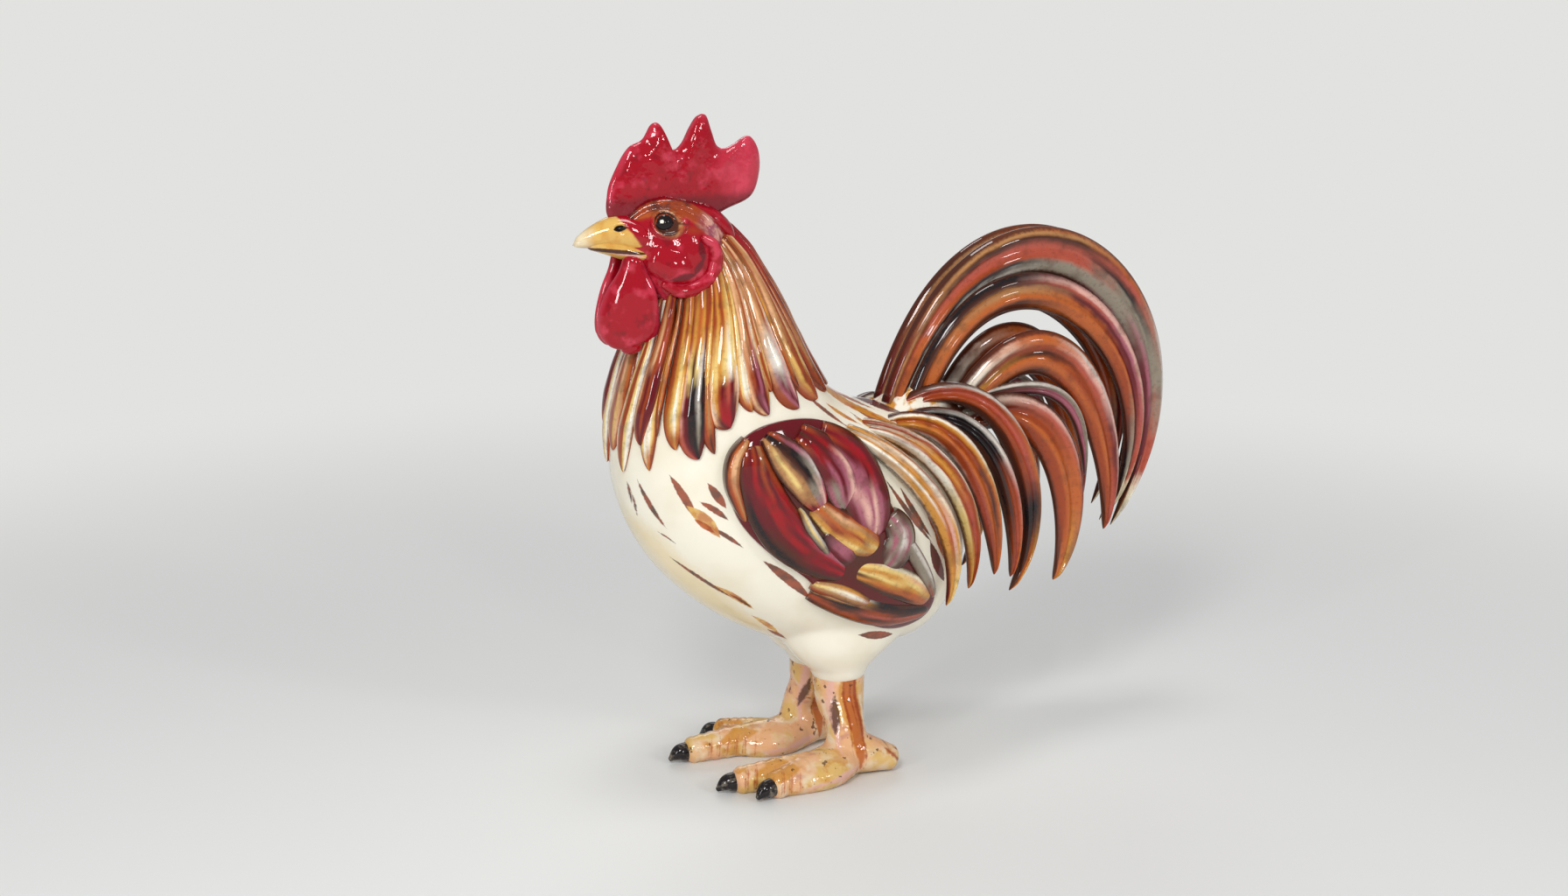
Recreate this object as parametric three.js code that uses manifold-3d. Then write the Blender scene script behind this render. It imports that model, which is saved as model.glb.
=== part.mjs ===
// A glazed ceramic rooster, standing on two feet, built from the castings and hand-pressed pieces
// it is made of.
// Millimetres, +Z up. The beak points along -X and the bird's left side faces -Y.
import * as THREE from 'three';
import { mergeVertices } from 'three/addons/utils/BufferGeometryUtils.js';
import Module from 'manifold-3d';

const wasm = await Module();
wasm.setup();

// Overall sizes
const overallHeight = 300;      // soles to the tip of the comb
const overallLength = 295;      // beak tip to the outer bend of the tail
const outlineHeight = 300;      // the outlines below are drawn for a bird of this height
const outlineLength = 295;      // and of this length
const seatGap = 0.3;            // glaze joint between a luted piece and its neighbour

// Body casting
const bodyWidth = 90;
const wallThickness = 4.5;
const ventDiameter = 8;         // pour and vent hole under the belly
const thighSpacing = 26;        // middle to middle, where the legs leave the belly
const thighDiameter = 27;       // at the hem

// Neck feathers
const hackleFeathers = 20;      // round the whole neck
const hackleCrown = 4;          // height of a feather's middle above the neck
const hackleRoot = 3;           // depth to which their undersides are carried into the neck's curve
const hackleEdge = 1.2;         // height of its edges

// Head
const headWidth = 41;
const combThickness = 9;
const combRounding = 2.6;
const beakWidth = 26;           // where it flares round the face
const nostrilDiameter = 3.2;
const eyeDiameter = 9.4;
const eyeSink = 3;              // depth of the eye's middle below the cheek
const browThickness = 5;
const wattleWidth = 27;
const wattleThickness = 9;
const wattleTurn = 28;          // degrees that each wattle is turned to lie on the neck
const wattleSpread = 16;        // middle to middle
const earlobeThickness = 6;
const earlobeRise = 1;          // of the rim's middle above the cheek

// Wings
const petalCrown = 1.5;         // rise of a petal's middle above its edges
const petalRoot = 3;            // depth to which a petal's underside reaches
const plateHeight = 3;          // of the plate's rim above the flank
const plateDome = 2.5;          // by which its middle stands higher

// Tail
const tailRootWidth = 32;
const sickleThickness = 9;

// Legs and feet
const shankTopDiameter = 25;
const ankleDiameter = 18;
const footWidth = 27;           // across the instep
const toeDiameter = 12.5;
const forkSetback = 8;          // distance of the fork behind the toes' ends
const clawDiameter = 8.6;
const clawLength = 11;

// Paint under the clear glaze
const paint = {
  cream: 0xeee6d2, honey: 0xc98f3c, rust: 0xa0481e, crimson: 0xa80f22, ochre: 0xd8b060, black: 0x241d1e,
  wine: 0x7c1419, flesh: 0xe0b084, tan: 0xb98250, coral: 0xb4543c, umber: 0x6e3018, grey: 0x8c8478,
};
const glazeRoughness = 0.12;

const stretchX = overallLength / outlineLength;
const stretchZ = overallHeight / outlineHeight;
const bird = new THREE.Group();

// A point of the side view, from the drawn outline to the size that is built.
function side(x, z) {
  return new THREE.Vector2(x * stretchX, z * stretchZ);
}

// The same for a point in space: its distance from the middle plane is a real size.
function place(x, y, z) {
  return new THREE.Vector3(x * stretchX, y, z * stretchZ);
}

// Builds a geometry from points and faces, with its faces turned outward.
function closedGeometry(points, faces) {
  let volume = 0;
  for (let i = 0; i < faces.length; i += 3) {
    const [a, b, c] = [points[faces[i]], points[faces[i + 1]], points[faces[i + 2]]];
    volume += a.dot(b.clone().cross(c));
  }
  if (volume < 0) faces.reverse();
  const geometry = new THREE.BufferGeometry().setFromPoints(points);
  geometry.setIndex(faces);
  return geometry;
}

// Two triangles across a four-cornered face. The second half of each skin is split the other way, so that
// a form that is alike on its left and right has like faces there.
function quad(a, b, c, d, secondHalf) {
  return secondHalf ? [a, b, d, a, d, c] : [a, b, c, b, d, c];
}

// Closes a run of rings into one skin, each end drawn together at a point.
function closedSkin(rings, start, end) {
  const sides = rings[0].length;
  const points = [start, ...rings.flat(), end];
  const at = (ring, turn) => 1 + ring * sides + (turn % sides);
  const faces = [];
  for (let turn = 0; turn < sides; turn++) {
    const secondHalf = 2 * turn >= sides;
    faces.push(0, at(0, turn + 1), at(0, turn));
    for (let ring = 0; ring < rings.length - 1; ring++) {
      const here = [at(ring, turn), at(ring, turn + 1)];
      const beyond = [at(ring + 1, turn), at(ring + 1, turn + 1)];
      faces.push(...quad(...here, ...beyond, secondHalf));
    }
    faces.push(at(rings.length - 1, turn), at(rings.length - 1, turn + 1), points.length - 1);
  }
  return closedGeometry(points, faces);
}

// Closes loops that stand side by side round an axis into one ring-shaped skin.
function collarSkin(loops) {
  const size = loops[0].length;
  const at = (loop, step) => (loop % loops.length) * size + (step % size);
  const faces = [];
  for (let loop = 0; loop < loops.length; loop++) {
    const secondHalf = 2 * loop >= loops.length;
    for (let step = 0; step < size; step++) {
      const here = [at(loop, step), at(loop, step + 1)];
      const beyond = [at(loop + 1, step), at(loop + 1, step + 1)];
      faces.push(...quad(...here, ...beyond, secondHalf));
    }
  }
  return closedGeometry(loops.flat(), faces);
}

// A solid that can be joined and cut.
function solid(geometry) {
  const bare = geometry.clone();
  bare.deleteAttribute('normal');
  bare.deleteAttribute('uv');
  const welded = mergeVertices(bare);
  return new wasm.Manifold(new wasm.Mesh({
    numProp: 3,
    vertProperties: welded.attributes.position.array,
    triVerts: Uint32Array.from(welded.index.array),
  }));
}

function joined(solids) {
  return solids.reduce((whole, piece) => whole.add(piece));
}

function cut(piece, ...tools) {
  return tools.reduce((rest, tool) => rest.subtract(tool), piece);
}

// The largest solid of a trimmed piece: offcuts left between its neighbours are not part of it.
function withoutOffcuts(piece) {
  return piece.decompose().reduce((largest, other) => (other.volume() > largest.volume() ? other : largest));
}

function geometryOf(piece) {
  const { vertProperties, triVerts } = piece.getMesh();
  const geometry = new THREE.BufferGeometry();
  geometry.setAttribute('position', new THREE.Float32BufferAttribute(vertProperties, 3));
  geometry.setIndex(Array.from(triVerts));
  return geometry;
}

// The same piece on the bird's other side.
function mirrored(geometry) {
  const twin = geometry.clone().scale(1, -1, 1);
  twin.setIndex(Array.from(geometry.index.array).reverse());
  return twin;
}

function add(name, geometry, colour) {
  const material = new THREE.MeshStandardMaterial({ color: colour, roughness: glazeRoughness, metalness: 0 });
  const mesh = new THREE.Mesh(geometry, material);
  mesh.name = name;
  bird.add(mesh);
}

function addPair(name, piece, colour) {
  const left = geometryOf(piece);
  add(`${name}_left`, left, colour);
  add(`${name}_right`, mirrored(left), colour);
}

// A rounded form drawn from the side. At each station the skin is an oval that runs from a point on the back
// line to a point on the belly line, as wide as the station's share of the form's full width.
class Form {
  constructor({ stations, start, end, width, fullness }) {
    this.back = new THREE.SplineCurve(stations.map(({ back }) => side(...back)));
    this.belly = new THREE.SplineCurve(stations.map(({ belly }) => side(...belly)));
    this.share = new THREE.SplineCurve(stations.map(({ share }, i) => new THREE.Vector2(i, share)));
    this.start = side(...start);
    this.end = side(...end);
    this.width = width;
    this.fullness = fullness;
  }

  // The section at a share of the run between the first and the last station.
  section(along) {
    const at = THREE.MathUtils.clamp(along, 0, 1);
    const back = this.back.getPoint(at);
    const belly = this.belly.getPoint(at);
    const rise = back.distanceTo(belly) / 2;
    const up = back.clone().sub(belly).normalize();
    const half = this.share.getPoint(at).y * this.width / 2;
    return { middle: back.add(belly).multiplyScalar(0.5), up, rise, half };
  }

  // The skin at a station, turned from the back line at 0 to the belly line at pi, lifted off the form.
  point(along, turn, lift = 0) {
    const { middle, up, rise, half } = this.section(along);
    const full = (value) => Math.sign(value) * Math.abs(value) ** this.fullness;
    const height = full(Math.cos(turn)) * (rise + lift);
    const aside = full(Math.sin(turn)) * (half + lift);
    return new THREE.Vector3(middle.x + up.x * height, aside, middle.y + up.y * height);
  }

  // Half the form's width behind a point of its side view, or 0 beside the form.
  halfWidthAt(x, z) {
    const spot = new THREE.Vector2(x, z);
    let [low, high] = [0, 1];
    const ahead = ({ middle, up }) => up.cross(spot.clone().sub(middle));
    const backwards = ahead(this.section(0)) > 0 ? 1 : -1;
    for (let pass = 0; pass < 24; pass++) {
      const half = (low + high) / 2;
      if (ahead(this.section(half)) * backwards > 0) low = half; else high = half;
    }
    const { middle, up, rise, half } = this.section((low + high) / 2);
    const level = Math.abs(spot.sub(middle).dot(up) / rise);
    return level < 1 ? half * (1 - level ** (2 / this.fullness)) ** (this.fullness / 2) : 0;
  }

  skin(steps, sides, grow = 0) {
    const rings = [];
    for (let step = 0; step <= steps; step++) {
      const ring = [];
      for (let turn = 0; turn < sides; turn++) {
        ring.push(this.point(step / steps, 2 * Math.PI * turn / sides, grow));
      }
      rings.push(ring);
    }
    const pole = (tip, along) => {
      const away = tip.clone().sub(this.section(along).middle);
      const out = tip.clone().add(away.setLength(grow));
      return new THREE.Vector3(out.x, 0, out.y);
    };
    return closedSkin(rings, pole(this.start, 0), pole(this.end, 1));
  }
}

// A limb with an oval section, swept along a smooth path, with its sizes given at each point of the path.
// width is measured across the path in the upright plane and depth to either side of it.
function limb(points, { width, depth = width, steps = 8, sides = 12, grow = 0 }) {
  const path = new THREE.CatmullRomCurve3(points);
  const sizes = new THREE.CatmullRomCurve3(width.map((value, i) => new THREE.Vector3(i, value, depth[i])));
  const rings = [];
  for (let step = 0; step <= steps; step++) {
    const at = step / steps;
    const { y: across, z: thick } = sizes.getPoint(at);
    const tangent = path.getTangent(at);
    const beside = new THREE.Vector3(0, 1, 0).addScaledVector(tangent, -tangent.y).normalize();
    const over = beside.clone().cross(tangent);
    const ring = [];
    for (let turn = 0; turn < sides; turn++) {
      const angle = 2 * Math.PI * turn / sides;
      ring.push(path.getPoint(at)
        .addScaledVector(over, Math.cos(angle) * (across / 2 + grow))
        .addScaledVector(beside, Math.sin(angle) * (thick / 2 + grow)));
    }
    rings.push(ring);
  }
  const cap = (at, sign, size) => {
    const reach = sign * (size / 3 + grow);
    return path.getPoint(at).addScaledVector(path.getTangent(at), reach);
  };
  return closedSkin(rings, cap(0, -1, width[0]), cap(1, 1, width[width.length - 1]));
}

// Width of a leaf-shaped feather along its length: from its root's share to full, then round to its tip.
function leaf(along, rootShare, widest, roundness) {
  if (along < widest) return rootShare + (1 - rootShare) * Math.sin(Math.PI / 2 * along / widest);
  const past = (along - widest) / (1 - widest);
  return (1 - past ** 2) ** roundness;
}

// A feather laid on a form: a strip with a crowned top that follows a path over the form's surface.
// spot turns two surface coordinates and a height into a point, and half is in the first coordinate's unit.
function laidFeather({ spot, path, half, shape, lift, crown, root, steps, grow = 0, growAcross = 0 }) {
  const across = [-1, -0.5, 0, 0.5, 1];
  const rings = [];
  for (let step = 0; step < steps; step++) {
    const along = Math.sin(Math.PI / 2 * step / steps);
    const middle = path.getPoint(along);
    const heading = path.getTangent(along);
    const reach = half * shape(along) + growAcross;
    const at = (share, height) => {
      const beside = reach * share;
      return spot(middle.x - heading.y * beside, middle.y + heading.x * beside, height);
    };
    const ring = across.map((share) => at(share, lift + crown * (1 - share ** 2) + grow));
    rings.push([...ring, at(1, -root - grow), at(-1, -root - grow)]);
  }
  const first = path.getPoint(0);
  const last = path.getPoint(1);
  return closedSkin(rings, spot(first.x, first.y, lift / 2), spot(last.x, last.y, lift / 2 + grow));
}

// Body: the slip-cast shell of breast, back, rump and neck core, with the two thighs luted under the belly.
const body = new Form({
  width: bodyWidth,
  fullness: 0.92,
  start: [88, 114],
  end: [-53, 243],
  stations: [
    { back: [86, 130], belly: [80, 94], share: 0.38 },
    { back: [80, 147], belly: [76, 72], share: 0.64 },
    { back: [66, 160], belly: [61, 57], share: 0.84 },
    { back: [48, 167], belly: [36, 54], share: 0.95 },
    { back: [32, 171], belly: [10, 57], share: 1 },
    { back: [18, 179], belly: [-18, 67], share: 1.02 },
    { back: [8, 191], belly: [-46, 85], share: 1.01 },
    { back: [0, 204], belly: [-67, 108], share: 0.96 },
    { back: [-4.5, 213], belly: [-79, 135], share: 0.88 },
    { back: [-10, 223], belly: [-81, 161], share: 0.78 },
    { back: [-15.5, 232], belly: [-76, 186], share: 0.63 },
    { back: [-21.5, 242], belly: [-70, 205], share: 0.43 },
    { back: [-30, 253.5], belly: [-66, 221], share: 0.28 },
  ],
});
const bodySides = 24;
const bodyRun = body.back.getLength();
const hemHeight = 43;
const thighTop = 80;
const legX = 21.5;

function thigh(hand, grow = 0) {
  const y = hand * thighSpacing / 2;
  const hem = hemHeight + thighDiameter / 6;
  return solid(limb([place(legX + 2, y, thighTop), place(legX, y, 60), place(legX, y, hem)], {
    width: [3.1, 2, 1].map((share) => share * thighDiameter),
    depth: [1.5, 1.4, 1].map((share) => share * thighDiameter),
    steps: 4,
    sides: 12,
    grow,
  }));
}

function bodyOutside(grow = 0) {
  return joined([solid(body.skin(20, bodySides, grow)), thigh(-1, grow), thigh(1, grow)]);
}
const bodyWithGap = bodyOutside(seatGap);
const ventLength = 40;
const vent = solid(new THREE.CylinderGeometry(ventDiameter / 2, ventDiameter / 2, ventLength, 16)
  .rotateX(Math.PI / 2).translate(56 * stretchX, 0, 56 * stretchZ));
const cavity = solid(body.skin(10, 12, -wallThickness));

// Head: face and crown with brow ridges, seated over the top of the neck.
const head = new Form({
  width: headWidth,
  fullness: 0.95,
  start: [-79, 249],
  end: [-28, 243],
  stations: [
    { back: [-77, 256.5], belly: [-76, 242], share: 0.3 },
    { back: [-70, 261.5], belly: [-71, 232], share: 0.56 },
    { back: [-61, 264.5], belly: [-63, 220], share: 0.88 },
    { back: [-50, 265], belly: [-51, 215], share: 1 },
    { back: [-40, 260], belly: [-41, 221], share: 0.88 },
    { back: [-32, 252.5], belly: [-33, 232], share: 0.5 },
  ],
});
const eyeSpot = side(-61, 255.5);
const eyeY = head.halfWidthAt(eyeSpot.x, eyeSpot.y) - eyeSink;

function onCheek([x, z], rise = 0) {
  const spot = side(x, z);
  return new THREE.Vector3(spot.x, -head.halfWidthAt(spot.x, spot.y) - rise, spot.y);
}

function brow() {
  const run = [[-74, 257], [-66, 261.8], [-57, 263], [-48, 260.5], [-41, 254.5], [-37.5, 247]];
  const width = [0.5, 0.8, 1, 1, 0.8, 0.5].map((share) => share * browThickness);
  return limb(run.map((spot) => onCheek(spot)), { width, steps: 6, sides: 6 });
}

function bothSides(geometry) {
  return joined([solid(geometry), solid(mirrored(geometry))]);
}

function eyeball(grow = 0) {
  return new THREE.SphereGeometry(eyeDiameter / 2 + grow, 10, 8).translate(eyeSpot.x, -eyeY, eyeSpot.y);
}

function headOutside(grow = 0) {
  return joined([solid(head.skin(9, 14, grow)), bothSides(brow())]);
}
const headSolid = cut(headOutside(), bodyWithGap, bothSides(eyeball(seatGap)));
const headWithGap = headOutside(seatGap);

// Earlobes: the curled rim behind and under each cheek.
function earlobe(grow = 0) {
  const run = [[-46, 249.5], [-41.5, 246], [-40, 240], [-42, 233], [-48, 228.5], [-56, 227], [-63, 230]];
  const width = [0.5, 0.9, 1, 1, 1, 1, 0.6].map((share) => share * earlobeThickness);
  return limb(run.map((spot) => onCheek(spot, earlobeRise)), { width, steps: 10, sides: 6, grow });
}
const earlobeSolid = cut(solid(earlobe()), headWithGap, bodyWithGap);

// Hackle cape: leaf-ended feathers in two tiers that hang round the neck over the shoulders. Around the neck
// each feather has a valley at -1, a crown at 0 and the next valley at 1, and its end runs out to a point.
// Where they begin and end is given as a share of the body's run from rump to neck.
const hackleTop = 0.985;
const hackleEndAtBack = 0.42;
const hackleEndAtBreast = 0.705;
const hackleFlankPower = 0.55;  // below 1 the ends on the flank lie higher
const hackleTierStep = 0.05;    // by which every other feather is shorter
const hackleTierLift = 0.4;     // millimetres by which it lies higher
const hackleLeafEnd = 0.075;    // taken by a feather's leaf-shaped end

function hackle(grow = 0) {
  const pointsPerFeather = 4;
  const loops = [];
  for (let i = 0; i < hackleFeathers * pointsPerFeather; i++) {
    const feather = Math.round(i / pointsPerFeather - 0.5);
    const across = 2 * (i / pointsPerFeather % 1) - 1;
    const upperTier = across > -1 ? Math.min(feather, hackleFeathers - 1 - feather) % 2 : 0.5;
    const turn = 2 * Math.PI * i / (hackleFeathers * pointsPerFeather);
    const towardsBreast = ((1 - Math.cos(turn)) / 2) ** hackleFlankPower;
    const tip = THREE.MathUtils.lerp(hackleEndAtBack, hackleEndAtBreast, towardsBreast)
      + upperTier * hackleTierStep + Math.abs(across) ** 1.8 * hackleLeafEnd;
    const height = hackleEdge + (hackleCrown - hackleEdge) * (1 - across ** 2) + upperTier * hackleTierLift;
    const down = (along) => THREE.MathUtils.lerp(hackleTop, tip - grow / bodyRun, along);
    const loop = [];
    for (const along of [0, 0.2, 0.4, 0.6, 0.8, 1]) {
      const swell = 0.7 + 0.3 * Math.sin(Math.PI * Math.min(along, 0.75));
      loop.push(body.point(down(along), turn, height * swell + grow));
    }
    for (const along of [1, 0.5, 0]) loop.push(body.point(down(along), turn, -hackleRoot));
    loops.push(loop);
  }
  return solid(collarSkin(loops));
}
const earlobesWithGap = bothSides(earlobe(seatGap));
const cape = withoutOffcuts(cut(hackle(), bodyWithGap, headWithGap, earlobesWithGap));

// Beak: hooked upper half with nostrils, and the lower half under the mouth line.
const upperBeak = new Form({
  width: beakWidth,
  fullness: 1,
  start: [-98, 246.5],
  end: [-60, 248],
  stations: [
    { back: [-96, 250], belly: [-96, 245.5], share: 0.17 },
    { back: [-91, 253.5], belly: [-91, 245], share: 0.32 },
    { back: [-84, 257], belly: [-84, 245], share: 0.5 },
    { back: [-77, 259], belly: [-77, 243.5], share: 0.72 },
    { back: [-70, 257.5], belly: [-70, 241.5], share: 1 },
    { back: [-64, 253], belly: [-64, 242], share: 0.9 },
  ],
});
const lowerBeak = new Form({
  width: beakWidth * 0.96,
  fullness: 1,
  start: [-93, 246],
  end: [-60, 242],
  stations: [
    { back: [-90, 248.5], belly: [-90, 244], share: 0.25 },
    { back: [-84, 249], belly: [-84, 242], share: 0.46 },
    { back: [-77, 248], belly: [-77, 239.5], share: 0.7 },
    { back: [-70, 246], belly: [-70, 238], share: 1 },
    { back: [-64, 245], belly: [-64, 239], share: 0.9 },
  ],
});
const nostril = new THREE.SphereGeometry(nostrilDiameter / 2, 8, 6)
  .translate(-79 * stretchX, -upperBeak.halfWidthAt(-79 * stretchX, 253.5 * stretchZ), 253.5 * stretchZ);
const upperBeakSolid = cut(solid(upperBeak.skin(6, 12)), headWithGap, bothSides(nostril));
const lowerBeakSolid = cut(solid(lowerBeak.skin(4, 10)), headWithGap, solid(upperBeak.skin(6, 12, seatGap)));
const beakWithGap = joined([solid(upperBeak.skin(6, 12, seatGap)), solid(lowerBeak.skin(4, 10, seatGap))]);

// Comb: a flat blade with three points, saddled on the crown of the head.
function combBlade() {
  const outline = new THREE.Shape();
  outline.setFromPoints([
    [-80, 256], [-82, 268], [-77, 280], [-72, 287], [-66, 290], [-62, 296], [-58.5, 296.5], [-56.5, 291],
    [-54.5, 286.5], [-51, 285.5], [-47.5, 288.5], [-44.5, 294], [-41, 299], [-37, 299.5], [-34.5, 293],
    [-32, 286.5], [-28, 285], [-23, 287], [-17, 290], [-12.5, 284], [-12, 274], [-16, 264], [-27, 259],
    [-36, 256], [-58, 256],
  ].map((spot) => side(...spot)));
  const blade = new THREE.ExtrudeGeometry(outline, {
    depth: combThickness - 2 * combRounding,
    bevelThickness: combRounding,
    bevelSize: combRounding * 0.6,
    bevelOffset: -combRounding * 0.6,
    bevelSegments: 2,
    curveSegments: 1,
  });
  return blade.translate(0, 0, combRounding - combThickness / 2).rotateX(Math.PI / 2);
}
const comb = cut(solid(combBlade()), headWithGap, bodyWithGap, beakWithGap);

// Wattles: two drops under the beak, turned to lie on the front of the neck.
function wattle() {
  const points = [[1, 239], [1, 234], [0.5, 226], [-1, 214], [-0.5, 207.5], [0, 204]];
  const share = [0.35, 0.5, 0.8, 1, 0.84, 0.42];
  const drop = limb(points.map(([x, z]) => place(x, 0, z)), {
    width: share.map((value) => value * wattleWidth),
    depth: share.map((value) => (0.45 + value / 2) * wattleThickness),
    steps: 8,
    sides: 12,
  });
  return solid(drop.rotateZ(-wattleTurn * Math.PI / 180).translate(-75 * stretchX, -wattleSpread / 2, 0));
}
const capeWithGap = hackle(seatGap);
const middleSlab = (half) => solid(new THREE.BoxGeometry(2 * overallLength, 2 * half, 2 * overallHeight));
const middleGap = middleSlab(seatGap / 2);
const besideWattle = [headWithGap, bodyWithGap, capeWithGap, beakWithGap, middleGap, earlobesWithGap];
const wattleSolid = withoutOffcuts(cut(wattle(), ...besideWattle));

// Wing: a rim plate on the flank with overlapping petals, each laid over the ones nearer to its tip.
function onFlank(x, z, height) {
  return new THREE.Vector3(x, -body.halfWidthAt(x, z) - height, z);
}
const plateOutline = [
  [-45, 148], [-41, 162], [-30, 170], [-12, 172], [5, 168], [20, 156], [28, 140], [37, 120], [49, 103],
  [58, 86], [56, 73], [42, 68], [24, 74], [5, 86], [-9, 101], [-26, 114], [-40, 130],
];
const plateMiddle = side(4, 122);
const petals = [
  { run: [[-37, 166], [-42.5, 158], [-43.5, 146], [-38, 130]], half: 3.2, lift: 4.6, rootShare: 0.5 },
  { run: [[-6, 94], [13, 85.5], [34, 78], [56, 76]], half: 7, lift: 4 },
  { run: [[12, 104], [27, 98], [41, 91], [54, 82]], half: 8, lift: 4.8 },
  { run: [[30, 123.5], [39.5, 111], [48, 98], [57, 83]], half: 4, lift: 5 },
  { run: [[30, 125], [35, 116], [33, 108], [25, 103]], half: 7.5, lift: 5.6 },
  { run: [[-4, 123], [3.5, 116], [12.5, 107.5]], half: 6.5, lift: 5.2 },
  { run: [[-10, 135], [-1, 125], [10, 117.5], [22, 111]], half: 7, lift: 5.8, widest: 0.6 },
  {
    run: [[-35, 165], [-34, 151], [-26.5, 132], [-14.5, 116.5], [6, 103]],
    half: 10.4,
    lift: 6,
    rootShare: 0.4,
    steps: 6,
  },
  { run: [[-15.5, 135], [-10.5, 125], [-1, 112]], half: 2.4, lift: 7, rootShare: 0.4 },
  { run: [[-1, 169], [14, 155], [19, 138], [22.5, 118]], half: 10.5, lift: 6.4, widest: 0.62, steps: 5 },
  { run: [[-12, 170], [-3, 160], [3.5, 149], [4.5, 135]], half: 7.5, lift: 7.1, widest: 0.62, steps: 5 },
  { run: [[-29, 169], [-22, 160], [-14, 149], [-4.5, 133]], half: 8.4, lift: 7.8, rootShare: 0.4, steps: 5 },
];

// The plate under the petals: a low dome inside the wing's outline.
function plate(grow = 0) {
  const sides = 26;
  const outline = new THREE.SplineCurve([...plateOutline, plateOutline[0]].map((spot) => side(...spot)));
  const ring = (share, height) => Array.from({ length: sides }, (_, i) => {
    const away = outline.getPoint(i / sides).sub(plateMiddle);
    const { x, y } = away.setLength(away.length() * share + grow).add(plateMiddle);
    return onFlank(x, y, height);
  });
  const domed = (share) => plateHeight + plateDome * (1 - share ** 2) + grow;
  const under = -petalRoot - grow;
  const edge = [ring(1, under), ring(1, plateHeight / 2), ring(0.96, domed(1))];
  const rings = [ring(0.5, under), ...edge, ring(0.6, domed(0.6))];
  const middle = (height) => onFlank(plateMiddle.x, plateMiddle.y, height);
  return solid(closedSkin(rings, middle(under), middle(domed(0))));
}

function petal({ run, half, lift, rootShare = 0.55, widest = 0.5, steps = 4 }, grow) {
  return solid(laidFeather({
    spot: onFlank,
    path: new THREE.SplineCurve(run.map((spot) => side(...spot))),
    half,
    shape: (along) => leaf(along, rootShare, widest, 0.5),
    lift,
    crown: petalCrown,
    root: petalRoot,
    steps,
    grow,
    growAcross: grow,
  }));
}
const wing = (grow = 0) => joined([plate(grow), ...petals.map((shape) => petal(shape, grow))]);
const wingSolid = cut(wing(), bodyWithGap, capeWithGap);
const wingWithGap = wing(seatGap);

// Tail: a root boss on the rump that carries the arched sickle feathers, drawn as one cubic curve each.
function tailRoot(grow = 0) {
  const points = [place(56, 0, 148), place(70, 0, 157), place(84, 0, 156), place(97, 0, 152)];
  const depth = [1, 0.95, 0.75, 0.4].map((value) => value * tailRootWidth);
  return limb(points, { width: [44, 40, 28, 12], depth, steps: 5, sides: 12, grow });
}
const tailRootSolid = cut(solid(tailRoot()), bodyWithGap);
const tailRootWithGap = solid(tailRoot(seatGap));

// Section of a sickle feather: two rounded ridges with a groove between them on its outer face.
// Each pair is the place across the feather, from its outer edge at 1, and the height beside it.
const sickleSection = [[1, 0], [0.6, -1], [0.12, -0.6], [-0.35, -0.95], [-1, 0], [-0.45, 0.8], [0.5, 0.8]];

function sickle({ run, width, rootShare, widest, thickness = sickleThickness, steps = 12 }, grow = 0) {
  const path = new THREE.CubicBezierCurve3(...run.map((point) => place(...point)));
  const sideways = new THREE.Vector3(0, 1, 0);
  const rings = [];
  for (let step = 0; step < steps; step++) {
    const along = step / steps;
    const tangent = path.getTangent(along);
    const beside = sideways.clone().addScaledVector(tangent, -tangent.y).normalize();
    const outward = tangent.clone().cross(beside);
    const reach = leaf(along, rootShare, widest, 0.75) * width / 2 + grow;
    const depth = (0.35 + 0.65 * leaf(along, 0.8, 0.4, 0.6)) * thickness / 2 + grow;
    rings.push(sickleSection.map(([across, height]) => path.getPoint(along)
      .addScaledVector(outward, across * reach).addScaledVector(beside, height * depth)));
  }
  const tip = path.getPoint(1).addScaledVector(path.getTangent(1), grow);
  const root = path.getPoint(0).addScaledVector(path.getTangent(0), -grow);
  return solid(closedSkin(rings, root, tip));
}
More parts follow.
